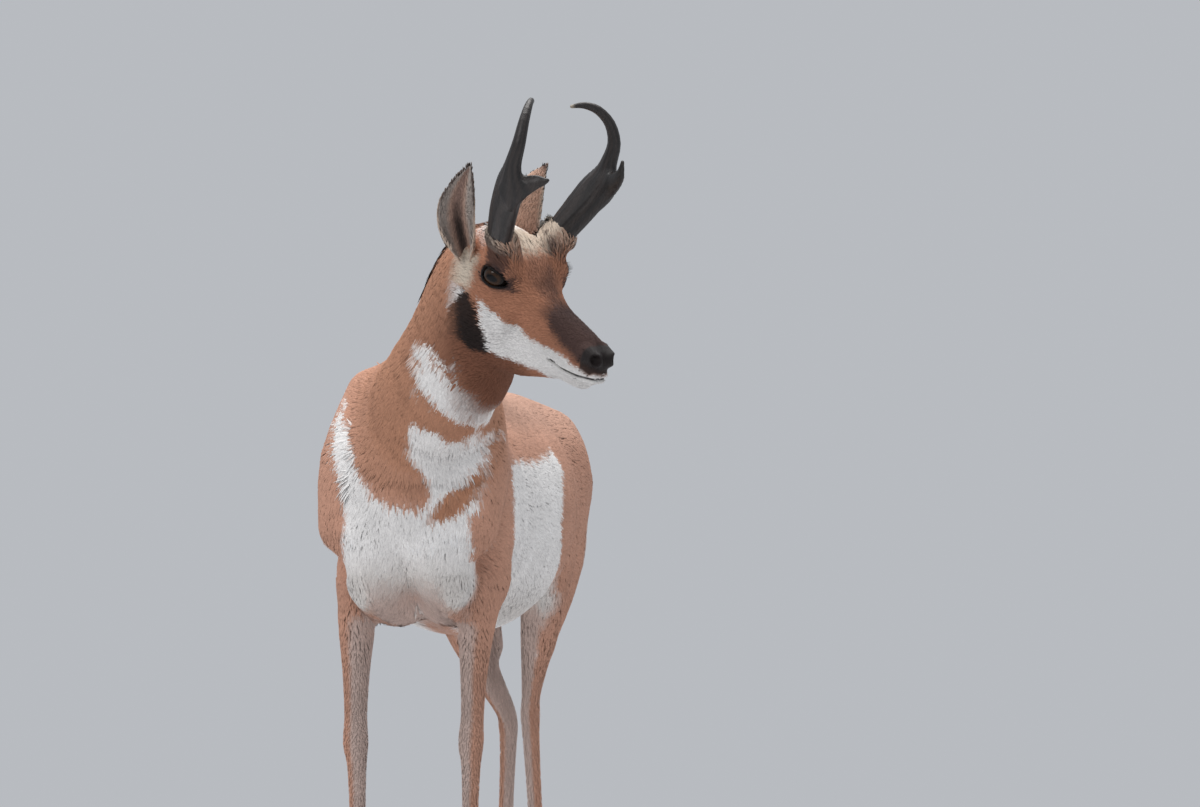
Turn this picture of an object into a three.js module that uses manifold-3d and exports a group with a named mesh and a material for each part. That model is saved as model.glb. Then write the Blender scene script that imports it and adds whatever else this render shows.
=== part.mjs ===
// A life-size pronghorn buck that stands square to its front and turns its head to its left.
// Millimetres, +Z up. The buck faces -Y, its left side is +X, and its fore feet stand at Y = 0.
// Flesh is made of forms: oval sections along a smooth curve, blended where they meet. Rays cast
// from a core line inside a form find its surface, ring by ring, and give each node its mesh.
import * as THREE from "three";
import { mergeVertices } from "three/addons/utils/BufferGeometryUtils.js";
import Module from "manifold-3d";

const wasm = await Module();
wasm.setup();

// Sizes that drive the rest
const gap = 0.3; // between touching nodes
const eyeRadius = 21;
const lidThickness = 3.2;
const eyeSide = 54; // from the middle of the head to the centre of each eye
const hoofHeight = 34;
const hornSpread = { left: [1, 0.95], right: [1.13, 1] }; // sideways and upwards, the two differ a little
const headPlace = [231, -300, 971]; // midway between the eyes
const headYaw = THREE.MathUtils.degToRad(59); // to the buck's left
const headPitch = THREE.MathUtils.degToRad(35); // nose down
const headRoll = THREE.MathUtils.degToRad(7); // left side up
const mane = { count: 13, lowest: 0.46, length: 58, width: 20, thickness: 6, lift: 7, sunk: 8 };
const foreLegShift = { left: -8, right: -5 }; // the fore legs lean a little to the right
const X = new THREE.Vector3(1, 0, 0);
const Z = new THREE.Vector3(0, 0, 1);
const sides = [
  ["left", 1],
  ["right", -1],
];

// Sections, each [x, y, z, half width, half depth]
const trunkRows = [
  [0, -95, 640, 60, 76],
  [0, -45, 650, 98, 120],
  [0, 20, 655, 118, 150],
  [0, 110, 645, 135, 172],
  [0, 220, 636, 149, 178],
  [0, 330, 637, 155, 176],
  [0, 430, 655, 149, 162],
  [0, 520, 688, 126, 138],
  [0, 600, 710, 112, 120],
  [0, 680, 715, 92, 100],
  [0, 722, 712, 70, 80],
];
const backRows = [
  [0, -20, 800, 34, 40],
  [0, 40, 822, 44, 46],
  [0, 200, 795, 72, 50],
  [0, 400, 786, 68, 46],
  [0, 520, 790, 54, 43],
  [0, 620, 784, 50, 42],
  [0, 700, 762, 52, 42],
];
const scapulaRows = [
  [72, 12, 804, 40, 58],
  [97, -24, 706, 46, 66],
  [95, -60, 612, 43, 48],
];
const tricepsRows = [
  [100, 70, 700, 38, 62],
  [98, 52, 590, 34, 52],
  [97, 40, 530, 29, 41],
];
const breastRows = [
  [40, -88, 600, 40, 46],
  [56, -40, 531, 42, 46],
  [40, 40, 500, 40, 36],
];
const rumpRows = [
  [52, 566, 750, 36, 43],
  [70, 620, 734, 48, 78],
  [72, 700, 705, 40, 62],
];
const hamstringRows = {
  left: [
    [64, 704, 698, 42, 60],
    [72, 692, 615, 36, 62],
    [66, 656, 532, 29, 48],
    [52, 630, 456, 19, 32],
  ],
  right: [
    [-64, 704, 698, 42, 60],
    [-72, 706, 615, 36, 60],
    [-64, 698, 532, 29, 48],
    [-48, 708, 448, 19, 32],
  ],
};
const neckRows = [
  [0, 45, 712, 74, 114],
  [16, -21, 746, 94, 132],
  [47, -92, 798, 89, 118],
  [94, -156, 856, 76, 106],
  [132, -207, 912, 64, 94],
  [153, -246, 955, 54, 82],
  [168, -266, 986, 49, 66],
];
const tailRows = [
  [0, 716, 775, 24, 22],
  [0, 758, 758, 21, 16],
  [0, 784, 716, 18, 13],
  [0, 792, 668, 13, 9],
  [0, 790, 640, 5, 4],
];

// The head's own frame has its origin midway between the eyes and faces -Y
const skullRows = [
  [0, 88, -18, 36, 30],
  [0, 55, -4, 48, 42],
  [0, 20, -4, 54, 44],
  [0, -12, -10, 51, 41],
  [0, -45, -24, 41, 36],
  [0, -85, -34, 32, 36],
  [0, -130, -38, 27, 39],
  [0, -168, -38, 26, 37],
  [0, -189, -35, 20, 27],
];
const jawRows = [
  [0, 22, -78, 34, 38],
  [0, -20, -82, 32, 35],
  [0, -70, -80, 26, 29],
  [0, -125, -77, 20, 19],
  [0, -162, -74, 16, 12],
  [0, -182, -72, 12, 9],
];
const throatRows = [
  [0, 98, -74, 48, 60],
  [0, 48, -98, 38, 48],
  [0, 0, -112, 29, 36],
  [0, -45, -114, 22, 29],
  [0, -82, -102, 18, 21],
  [0, -114, -88, 12, 12],
];
const cheekRows = [
  [38, 12, -50, 17, 42],
  [36, -32, -55, 13, 32],
];
const orbitRows = [
  [46, 10, 0, 26, 30],
  [46, -8, 0, 25, 28],
];
const pedicleRows = [
  [38, 8, 14, 20, 28],
  [48, 14, 38, 17, 27],
];
const nostrilRows = [
  [15, -184, -23, 13, 16],
  [14, -201, -21, 11, 13],
];
const upperLipRows = [
  [13, -150, -58, 15, 14],
  [12, -180, -56, 15, 13],
  [7, -202, -50, 12, 11],
];
const hornRows = [
  [46, 14, 20, 17, 26],
  [54, 16, 52, 16.5, 26],
  [68, 12, 92, 14.5, 26],
  [80, 6, 134, 12.5, 28],
  [88, 3, 162, 11, 24],
  [91, 7, 190, 10, 14],
  [91, 11, 222, 9, 10.5],
  [83, 25, 248, 7.5, 8.5],
  [68, 43, 262, 6, 7],
  [52, 58, 262, 4.5, 5],
  [39, 68, 254, 2.4, 2.6],
];
const prongRows = [
  [86, 0, 140, 9, 22],
  [84, -20, 166, 7.5, 16],
  [79, -36, 184, 5.5, 10],
  [75, -44, 190, 4, 6],
  [73, -49, 195, 2.2, 2.6],
];
const prongCurl = { left: [0, 16, 22], right: [0, 0, 0] }; // how far each tip turns back and up

// Legs, for the left side; the right hind leg stands further back
const foreLegRows = [
  [98, 40, 545, 31, 44],
  [94, 26, 475, 28, 35],
  [92, 12, 400, 20.5, 25],
  [91, 6, 330, 17, 19],
  [90, 1, 290, 19, 21],
  [89, 5, 255, 14.5, 15.5],
  [88, 5, 190, 12, 13.5],
  [87, 4, 130, 12, 14],
  [86, 3, 102, 16, 18],
  [86, -10, 68, 14, 15],
  [86, -22, 42, 20, 21],
  [86, -26, 28, 20, 22],
];
const thighRows = {
  left: [
    [78, 612, 712, 44, 90],
    [86, 568, 630, 42, 80],
    [76, 546, 556, 34, 58],
  ],
  right: [
    [-78, 616, 712, 44, 90],
    [-90, 592, 632, 43, 80],
    [-80, 590, 556, 35, 57],
  ],
};
const hindLegRows = {
  left: [
    [76, 548, 560, 34, 54],
    [64, 574, 490, 32, 42],
    [46, 608, 420, 21, 29],
    [33, 638, 368, 14, 24],
    [31, 642, 340, 15, 21],
    [33, 639, 300, 13, 16],
    [38, 638, 220, 11.5, 13.5],
    [43, 636, 135, 12, 14],
    [45, 634, 105, 15.5, 18],
    [47, 621, 70, 13.5, 15],
    [49, 609, 42, 19, 20],
    [49, 605, 28, 19, 21],
  ],
  right: [
    [-82, 592, 558, 36, 56],
    [-72, 626, 482, 31, 42],
    [-50, 678, 410, 21, 29],
    [-32, 730, 356, 14, 24],
    [-27, 742, 328, 15, 21],
    [-28, 747, 290, 13, 16],
    [-33, 758, 220, 11.5, 13.5],
    [-38, 768, 135, 12, 14],
    [-40, 771, 105, 15.5, 18],
    [-42, 760, 70, 13.5, 15],
    [-44, 750, 42, 19, 20],
    [-44, 746, 28, 19, 21],
  ],
};

// Numbers between rows on a smooth curve through them
function smoothRows(rows, steps) {
  const last = rows.length - 1;
  const out = [];
  for (let i = 0; i < last; i++) {
    const [a, b, c, d] = [rows[Math.max(i - 1, 0)], rows[i], rows[i + 1], rows[Math.min(i + 2, last)]];
    for (let k = 0; k < steps; k++) {
      const t = k / steps;
      out.push(
        b.map((_, n) => {
          const [p, q, r, s] = [a[n], b[n], c[n], d[n]];
          return q + 0.5 * t * (r - p + t * (2 * p - 5 * q + 4 * r - s + t * (3 * (q - r) + s - p)));
        }),
      );
    }
  }
  out.push(rows[last]);
  return out;
}

// Nearer of two distances, rounded over `blend` where they are alike
function softMin(a, b, blend) {
  const near = Math.max(blend - Math.abs(a - b), 0) / blend;
  return Math.min(a, b) - near * near * blend * 0.25;
}

// A form: how far a point is outside oval sections along a curve. Across is the way of the half width.
function form(rows, { across = [X], steps = 3, paired = false } = {}) {
  const fine = smoothRows(rows, steps);
  const spans = fine.slice(1).map((end, i) => {
    const start = fine[i];
    const from = new THREE.Vector3(...start);
    const along = new THREE.Vector3(...end).sub(from);
    const length = along.length();
    along.divideScalar(length);
    const share = (i / (fine.length - 1)) * (across.length - 1);
    const near = Math.floor(share);
    const side = across[near].clone().lerp(across[Math.min(near + 1, across.length - 1)], share - near);
    side.addScaledVector(along, -side.dot(along)).normalize();
    const depth = new THREE.Vector3().crossVectors(along, side);
    return { from, along, length, side, depth, w: [start[3], end[3]], h: [start[4], end[4]] };
  });
  const q = new THREE.Vector3();
  return (p) => {
    let best = Infinity;
    for (const s of spans) {
      q.copy(p);
      if (paired) q.x = Math.abs(q.x);
      q.sub(s.from);
      const reach = THREE.MathUtils.clamp(q.dot(s.along), 0, s.length);
      const t = reach / s.length;
      const w = s.w[0] + (s.w[1] - s.w[0]) * t;
      const h = s.h[0] + (s.h[1] - s.h[0]) * t;
      const e = Math.min(w, h);
      const [a, b, c] = [q.dot(s.side), q.dot(s.depth), q.dot(s.along) - reach];
      const k0 = Math.hypot(a / w, b / h, c / e);
      const k1 = Math.hypot(a / w / w, b / h / h, c / e / e);
      best = Math.min(best, k1 > 1e-9 ? (k0 * (k0 - 1)) / k1 : -e);
    }
    return best;
  };
}

// Several forms as one body of flesh: [form, blend] pairs
function flesh(...parts) {
  return (p) => parts.reduce((d, [f, blend]) => softMin(d, f(p), blend), 1e3);
}

// How far from the origin a ray meets the surface
function cast(body, origin, direction, most) {
  const p = new THREE.Vector3();
  const at = (r) => body(p.copy(origin).addScaledVector(direction, r));
  let inside = 0;
  let r = 0;
  let d = at(0);
  while (d < 0 && r < most) {
    inside = r;
    r += Math.max(-d * 0.8, 0.8);
    d = at(r);
  }
  if (d < 0) return most;
  for (let outside = r, n = 0; n < 18; n++) {
    r = (inside + outside) / 2;
    if (at(r) < 0) inside = r;
    else outside = r;
  }
  return r;
}

// A closed mesh from rings of points and a point at each end
function closedMesh(rings, start, end) {
  const around = rings[0].length;
  const positions = [start, ...rings.flat(), end].flatMap((p) => [p.x, p.y, p.z]);
  const index = [];
  const at = (ring, n) => 1 + ring * around + (n % around);
  const lastPoint = positions.length / 3 - 1;
  for (let n = 0; n < around; n++) {
    index.push(0, at(0, n), at(0, n + 1));
    index.push(lastPoint, at(rings.length - 1, n + 1), at(rings.length - 1, n));
    for (let r = 0; r + 1 < rings.length; r++) {
      index.push(at(r, n), at(r + 1, n), at(r + 1, n + 1));
      index.push(at(r, n), at(r + 1, n + 1), at(r, n + 1));
    }
  }
  const geometry = new THREE.BufferGeometry();
  geometry.setAttribute("position", new THREE.Float32BufferAttribute(positions, 3));
  geometry.setIndex(index);
  return geometry;
}

// The surface of a body round a core line, with rounded ends of `dome` rings each
function skin(body, rows, { across = X, around = 16, rings = 16, dome = 4, most = 300 } = {}) {
  const curve = new THREE.CatmullRomCurve3(rows.map((r) => new THREE.Vector3(r[0], r[1], r[2])));
  const cores = Array.from({ length: rings }, (_, i) => {
    const origin = curve.getPoint(i / (rings - 1));
    const along = curve.getTangent(i / (rings - 1));
    const side = across.clone().addScaledVector(along, -across.dot(along)).normalize();
    return { origin, along, side, depth: new THREE.Vector3().crossVectors(along, side), lean: 0 };
  });
  const leans = Array.from({ length: dome }, (_, k) => ((k + 1) / (dome + 1)) * (Math.PI / 2));
  const first = leans.toReversed().map((a) => ({ ...cores[0], lean: -a }));
  const last = leans.map((a) => ({ ...cores[rings - 1], lean: a }));
  const made = [...first, ...cores, ...last].map((c) =>
    Array.from({ length: around }, (_, n) => {
      const turn = (2 * Math.PI * n) / around;
      const ray = c.side.clone().multiplyScalar(Math.cos(turn)).addScaledVector(c.depth, Math.sin(turn));
      ray.multiplyScalar(Math.cos(c.lean)).addScaledVector(c.along, Math.sin(c.lean));
      return c.origin.clone().addScaledVector(ray, cast(body, c.origin, ray, most));
    }),
  );
  const tip = (c, sign) => {
    const ray = c.along.clone().multiplyScalar(sign);
    return c.origin.clone().addScaledVector(ray, cast(body, c.origin, ray, most));
  };
  return solid(closedMesh(made, tip(cores[0], -1), tip(cores[rings - 1], 1)));
}

// A closed geometry as a solid for cutting and joining, faces outwards whichever way it was wound
function solid(geometry, matrix = new THREE.Matrix4()) {
  const bare = geometry.index ? geometry.toNonIndexed() : geometry.clone();
  bare.deleteAttribute("normal");
  bare.deleteAttribute("uv");
  const merged = mergeVertices(bare.applyMatrix4(matrix), 1e-4);
  const [vertProperties, triVerts] = [merged.attributes.position.array, new Uint32Array(merged.index.array)];
  const make = () => new wasm.Manifold(new wasm.Mesh({ numProp: 3, vertProperties, triVerts }));
  const made = make();
  if (made.volume() > 0) return made;
  for (let i = 0; i < triVerts.length; i += 3) {
    [triVerts[i + 1], triVerts[i + 2]] = [triVerts[i + 2], triVerts[i + 1]];
  }
  return make();
}

// The largest closed body of a solid
function largest(made) {
  return made.decompose().reduce((a, b) => (b.volume() > a.volume() ? b : a));
}

function ball(place, radii, detail = [18, 12]) {
  const matrix = new THREE.Matrix4().compose(
    new THREE.Vector3(...place),
    new THREE.Quaternion(),
    new THREE.Vector3(...radii),
  );
  return solid(new THREE.SphereGeometry(1, ...detail), matrix);
}

// What lies beyond a plane is cut away; with side -1 what lies short of it, and the gap
function trim(made, { point, normal }, side = 1) {
  const size = 2000;
  const turn = new THREE.Quaternion().setFromUnitVectors(Z, normal);
  const place = point.clone().addScaledVector(normal, side * (size / 2) + (side < 0 ? gap : 0));
  const matrix = new THREE.Matrix4().compose(place, turn, new THREE.Vector3(1, 1, 1));
  return made.subtract(solid(new THREE.BoxGeometry(size, size, size), matrix));
}

// One node
const finishes = {
  coat: { color: 0xb07a55, roughness: 0.85 },
  white: { color: 0xe6e0da, roughness: 0.85 },
  horn: { color: 0x1e1a1a, roughness: 0.5 },
  hoof: { color: 0x242020, roughness: 0.45 },
  eye: { color: 0x0c0a0a, roughness: 0.08 },
};
function node(name, made, finish, parent) {
  const { numProp, vertProperties, triVerts } = largest(made).getMesh();
  const geometry = new THREE.BufferGeometry();
  const interleaved = new THREE.InterleavedBuffer(vertProperties, numProp);
  const xyz = new THREE.InterleavedBufferAttribute(interleaved, 3, 0);
  geometry.setAttribute("position", new THREE.BufferAttribute(plain(xyz), 3));
  geometry.setIndex(new THREE.BufferAttribute(triVerts, 1));
  geometry.computeVertexNormals();
  const mesh = new THREE.Mesh(geometry, new THREE.MeshStandardMaterial({ metalness: 0, ...finishes[finish] }));
  mesh.name = name;
  parent.add(mesh);
  return mesh;
}
function plain(attribute) {
  const out = new Float32Array(attribute.count * 3);
  for (let i = 0; i < attribute.count; i++) {
    out.set([attribute.getX(i), attribute.getY(i), attribute.getZ(i)], i * 3);
  }
  return out;
}

const buck = new THREE.Group();
const head = new THREE.Group();
head.position.set(...headPlace);
head.rotation.set(headPitch, -headRoll, headYaw, "ZXY");
buck.add(head);
buck.updateMatrixWorld(true);
const toHead = head.matrixWorld.clone().invert();
const headSide = X.clone().transformDirection(head.matrixWorld);

// Forms
const trunk = form(trunkRows);
const back = form(backRows);
const scapula = form(scapulaRows, { paired: true });
const triceps = form(tricepsRows, { paired: true });
const breast = form(breastRows, { paired: true });
const rump = form(rumpRows, { paired: true });
const hamstrings = { left: form(hamstringRows.left), right: form(hamstringRows.right) };
const thighs = { left: form(thighRows.left), right: form(thighRows.right) };
const neckForm = form(neckRows, { across: [X, X, headSide, headSide] });
const skull = form(skullRows);
const jaw = form(jawRows);
const throat = form(throatRows);
const cheek = form(cheekRows, { paired: true });
const orbit = form(orbitRows, { paired: true });
const pedicle = form(pedicleRows, { paired: true });
const nostril = form(nostrilRows, { paired: true });
const upperLip = form(upperLipRows, { paired: true });

const headForms = [
  [skull, 10],
  [jaw, 22],
  [throat, 24],
  [cheek, 20],
  [orbit, 16],
  [pedicle, 14],
  [nostril, 9],
  [upperLip, 9],
];
const torsoForms = [
  [trunk, 40],
  [back, 45],
  [scapula, 34],
  [triceps, 30],
  [breast, 34],
  [rump, 40],
  ...Object.values(hamstrings).map((f) => [f, 30]),
  ...Object.values(thighs).map((f) => [f, 34]),
];

// Torso, neck and head meet at planes across the neck, torso and hind legs at one across the thighs
const neckTop = form(neckRows.slice(3).map((row) => [...toLocal(row), row[3], row[4]]));
const headFlesh = flesh(...headForms, [neckTop, 34]);
const bodyFlesh = flesh(...torsoForms, [neckForm, 60]);
function toLocal(row) {
  return new THREE.Vector3(row[0], row[1], row[2]).applyMatrix4(toHead).toArray();
}
function plane(parent, point, normal) {
  return {
    point: new THREE.Vector3(...point).applyMatrix4(parent.matrixWorld),
    normal: new THREE.Vector3(...normal).normalize().transformDirection(parent.matrixWorld),
  };
}
const shoulderPlane = plane(buck, [26, -82, 800], [0.36, -0.66, 0.66]);
const throatCut = {
  point: new THREE.Vector3(0, 92, 10),
  normal: new THREE.Vector3(0, -0.933, 0.359).normalize(),
};
const throatPlane = plane(head, throatCut.point.toArray(), throatCut.normal.toArray());
const haunchPlane = plane(buck, [0, 480, 500], [0, 0.447, -0.894]);

const bodyCore = [
  [0, 690, 728],
  [0, 630, 728],
  [0, 560, 718],
  [0, 480, 692],
  [0, 390, 664],
  [0, 290, 652],
  [0, 200, 650],
  [0, 135, 658],
  [0, 85, 672],
  [1, 40, 694],
  [4, 0, 720],
  [9, -36, 752],
  [20, -72, 788],
  [38, -108, 824],
  [64, -145, 860],
  [94, -182, 898],
  [122, -214, 934],
  [146, -244, 968],
];
function bodySolid(grow) {
  return skin((p) => bodyFlesh(p) - grow, bodyCore, { around: 34, rings: 50, dome: 4 });
}
const bodyWhole = trim(bodySolid(0), haunchPlane);
const bodyGrown = bodySolid(gap);
const bodyTrimmedGrown = trim(bodyGrown, haunchPlane);
node("torso", trim(bodyWhole, shoulderPlane), "coat", buck);
const neckMade = trim(trim(bodyWhole, shoulderPlane, -1), throatPlane);
node("neck", wasm.Manifold.union([neckMade, ...maneLocks()]), "coat", buck);

// The short mane: flat tapered locks along the nape that lie back and overlap
function maneLocks() {
  const nape = new THREE.CatmullRomCurve3(bodyCore.slice(-7).map((p) => new THREE.Vector3(...p)));
  return Array.from({ length: mane.count }, (_, i) => {
    const share = 0.97 - (0.97 - mane.lowest) * (i / (mane.count - 1));
    const core = nape.getPoint(share);
    const back = nape.getTangent(share).negate();
    const side = headSide.clone().lerp(X, 1 - share);
    side.addScaledVector(back, -side.dot(back)).normalize();
    const out = new THREE.Vector3().crossVectors(back, side).normalize();
    if (out.z < 0) out.negate();
    const swing = i % 2 ? 1 : -1;
    const ray = out.clone().addScaledVector(side, swing * 0.1).normalize();
    const root = core.clone().addScaledVector(ray, cast(bodyFlesh, core, ray, 200) - mane.sunk);
    const length = mane.length * (1 + 0.14 * Math.sin(i * 2.3));
    const rings = [0, 0.3, 0.62, 0.86].map((t) => {
      const bend = mane.lift * Math.sin(t * 1.7) + mane.sunk * t;
      const centre = root.clone().addScaledVector(back, t * length).addScaledVector(ray, bend);
      centre.addScaledVector(side, swing * 3 * t * t);
      const wide = mane.width * (1 - t ** 1.6) * 0.5;
      const thick = mane.thickness * (1 - 0.75 * t) * 0.5;
      return [
        centre.clone().addScaledVector(side, wide),
        centre.clone().addScaledVector(ray, thick),
        centre.clone().addScaledVector(side, -wide),
        centre.clone().addScaledVector(ray, -thick),
      ];
    });
    const end = root.clone().addScaledVector(back, length).addScaledVector(ray, mane.lift + mane.sunk);
    return solid(closedMesh(rings, root.clone().addScaledVector(back, -6), end));
  });
}

// Head with lids round the eyes, a mouth line and nostrils
const headCore = [
  [0, 50, -30],
  [0, 0, -42],
  [0, -60, -52],
  [0, -120, -46],
  [0, -192, -44],
];
function headSolid(grow) {
  const grown = (p) => headFlesh(p) - grow;
  return skin(grown, headCore, { around: 33, rings: 32, dome: 4, most: 170 });
}
const eyeDetail = [16, 11];
function eyePlace(side) {
  return [side * eyeSide, 0, 0];
}
// The line of the mouth is a slit from corner to corner round the front of the muzzle
const mouth = {
  line: [
    [-121, -70],
    [-155, -65],
    [-186, -57],
    [-209, -50],
    [-232, -42],
  ], // [y, z] from the corner forwards
  halfOpening: [0.5, 0.9, 1.1, 1.2, 1.2],
  halfWidth: 45,
  depth: 5,
};
function mouthSlit() {
  const ring = (x) => {
    const edge = (sign) =>
      mouth.line.map(([y, z], i) => new THREE.Vector3(x, y, z + sign * mouth.halfOpening[i]));
    return [...edge(1), ...edge(-1).toReversed()];
  };
  const [right, left] = [ring(-mouth.halfWidth), ring(mouth.halfWidth)];
  const middle = (ring) => ring[2].clone().lerp(ring[7], 0.5);
  const slab = solid(closedMesh([right, left], middle(right), middle(left)));
  return slab.subtract(headSolid(-mouth.depth));
}
let headMade = trim(headSolid(0), throatCut, -1).subtract(mouthSlit());
for (const side of [-1, 1]) {
  const lid = eyeRadius + lidThickness;
  headMade = headMade
    .add(ball(eyePlace(side), [lid, lid, lid], [16, 12]))
    .subtract(ball([side * (eyeSide + 25), -7, 1], [27, 23, 14.5], [18, 10]))
    .subtract(ball(eyePlace(side), [1, 1, 1].map((v) => v * (eyeRadius + 1.2 * gap)), eyeDetail))
    .subtract(ball([side * 18.5, -206, -18], [6, 9, 7.5], [12, 8]));
}
node("head", headMade, "coat", head);

for (const [name, side] of sides) {
  node(`eye_${name}`, ball(eyePlace(side), [eyeRadius, eyeRadius, eyeRadius], eyeDetail), "eye", head);
}
const headGrown = headSolid(gap);
const headForHorns = headSolid(gap * 1.6);
const bodyInHead = bodyGrown.transform(toHead.elements);

// Horns with a forward prong
const mirror = (rows, side) => rows.map(([x, ...rest]) => [x * side, ...rest]);
for (const [name, side] of sides) {
  const [beamRows, spurRows] = [hornRows, prongRows].map((rows) =>
    rows.map(([x, y, z, ...rest]) => [side * x * hornSpread[name][0], y, z * hornSpread[name][1], ...rest]),
  );
  spurRows.forEach((row, i) => {
    const share = (i / (spurRows.length - 1)) ** 2;
    prongCurl[name].forEach((reach, k) => (row[k] += reach * share));
  });
  const horn = skin(form(beamRows), beamRows, { around: 12, rings: 26, dome: 1, most: 60 }).add(
    skin(form(spurRows), spurRows, { around: 10, rings: 8, dome: 1, most: 40 }),
  );
  node(`horn_${name}`, horn.subtract(headForHorns), "horn", head);
}

// Ears: a leaf curled into a cup that opens forwards and outwards
const ear = {
  root: new THREE.Vector3(50, 74, -16),
  left: { tip: [76, 104, 114], bow: [0, 16, 0], opening: [0.96, 0.2, 0.1] }, // turned outwards
  right: { tip: [78, 106, 122], bow: [18, 6, 0], opening: [0.72, -0.68, 0.1] }, // turned forwards
  halfWidths: [14, 21, 26, 27, 23, 14, 3],
  halfCurls: [150, 116, 90, 72, 60, 49, 40],
  thickness: 3.6,
  across: 8,
};
function earSolid(name, side) {
  const { tip: tipPlace, bow: bowReach, opening: way } = ear[name];
  const [root, tip, bow, opening] = [ear.root.toArray(), tipPlace, bowReach, way].map(
    ([x, y, z]) => new THREE.Vector3(side * x, y, z),
  );
  const along = tip.clone().sub(root).normalize();
  opening.addScaledVector(along, -opening.dot(along)).normalize();
  const across = new THREE.Vector3().crossVectors(along, opening);
  const rows = smoothRows(
    ear.halfWidths.map((w, i) => [w, ear.halfCurls[i]]),
    2,
  );
  const rings = rows.map(([halfWidth, halfCurl], i) => {
    const share = i / (rows.length - 1);
    const centre = root.clone().lerp(tip, share).addScaledVector(bow, Math.sin(Math.PI * share));
    const curl = THREE.MathUtils.degToRad(halfCurl);
    const radius = halfWidth / Math.sin(Math.min(curl, Math.PI / 2));
    const wall = ear.thickness * (1 - 0.5 * share);
    const leaf = (v, r) =>
      centre
        .clone()
        .addScaledVector(across, r * Math.sin(v * curl))
        .addScaledVector(opening, radius * 0.5 - r * Math.cos(v * curl));
    const ways = Array.from({ length: ear.across + 1 }, (_, n) => (2 * n) / ear.across - 1);
    const outer = ways.map((v) => leaf(v, radius));
    const inner = ways.toReversed().map((v) => leaf(v * 0.97, radius - Math.min(wall, radius * 0.6)));
    return [...outer, ...inner];
  });
  const wallMiddle = (ring) => ring[ear.across / 2].clone().lerp(ring[1 + 1.5 * ear.across], 0.5);
  const shell = solid(closedMesh(rings, wallMiddle(rings[0]), wallMiddle(rings.at(-1))));
  return shell.add(ball([side * 52, 74, -10], [17, 17, 24], [10, 7]));
}
for (const [name, side] of sides) {
  node(`ear_${name}`, earSolid(name, side).subtract(headGrown).subtract(bodyInHead), "coat", head);
}

// Legs in two lengths, parted across the knee or hock, with two hooves each
const level = (z) => ({ point: new THREE.Vector3(0, 0, z), normal: Z });
function leg(name, made, split) {
  const free = trim(made, level(hoofHeight), -1);
  node(`${name}_upper`, trim(free, level(split), -1), "coat", buck);
  node(`${name}_lower`, trim(free, level(split)), "coat", buck);
}
function hoof(name, x, y, size) {
  const [halfWidth, halfLength] = size;
  const levels = [
    [0, 1, 0],
    [5, 1.02, 1],
    [20, 0.88, 7],
    [hoofHeight, 0.74, 14],
  ];
  const rings = levels.map(([z, scale, shift]) =>
    Array.from({ length: 12 }, (_, n) => {
      const turn = (2 * Math.PI * n) / 12;
      const toe = Math.max(-Math.cos(turn), 0);
      const px = x + halfWidth * scale * Math.sin(turn) * (1 - 0.3 * toe * toe);
      const py = y + halfLength * scale * Math.cos(turn) + shift;
      return new THREE.Vector3(px, py, z);
    }),
  );
  const mid = (ring) => ring.reduce((s, p) => s.add(p), new THREE.Vector3()).divideScalar(ring.length);
  node(name, solid(closedMesh(rings, mid(rings[0]), mid(rings.at(-1)))), "hoof", buck);
}
for (const [name, side] of sides) {
  const foreRows = mirror(foreLegRows, side);
  foreRows.slice(1).forEach((row) => (row[0] += foreLegShift[name]));
  const foreLeg = skin(form(foreRows), foreRows.slice(0, -1), { around: 12, rings: 21, dome: 1, most: 75 });
  leg(`foreleg_${name}`, foreLeg.subtract(bodyGrown), 290);
  const rows = hindLegRows[name];
  const hindFlesh = flesh([form(rows), 24], [thighs[name], 25], [hamstrings[name], 34]);
  const stifle = [rows[1][0], rows[1][1] + 14, rows[1][2] + 8];
  const core = [[side * 80, 622, 680], [side * 80, 606, 590], stifle, ...rows.slice(2, -1)];
  const hindLeg = skin(hindFlesh, core, { around: 13, rings: 23, dome: 2, most: 175 });
  leg(`hindleg_${name}`, trim(hindLeg, haunchPlane, -1).subtract(bodyTrimmedGrown), rows[3][2] - 10);
  for (const [foot, row, size] of [
    ["foreleg", foreRows.at(-1), [10.5, 34]],
    ["hindleg", rows.at(-1), [10, 31]],
  ]) {
    hoof(`hoof_${foot}_${name}_outer`, row[0] + side * 11.5, row[1] - 6, size);
    hoof(`hoof_${foot}_${name}_inner`, row[0] - side * 11.5, row[1] - 6, size);
  }
}

const tail = skin(form(tailRows), tailRows, { around: 10, rings: 8, dome: 2, most: 60 });
node("tail", tail.subtract(bodyGrown), "white", buck);

// The middle of the model's foot stands on the origin
const bounds = new THREE.Box3().setFromObject(buck, true);
const middleOfBounds = bounds.getCenter(new THREE.Vector3());
buck.position.set(-middleOfBounds.x, -middleOfBounds.y, -bounds.min.z);

export default buck;
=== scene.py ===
# A pronghorn buck, life size: skin, coat, horns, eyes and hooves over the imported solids
import math

import bmesh
import bpy
import numpy as np
from mathutils import Matrix, Vector


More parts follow.
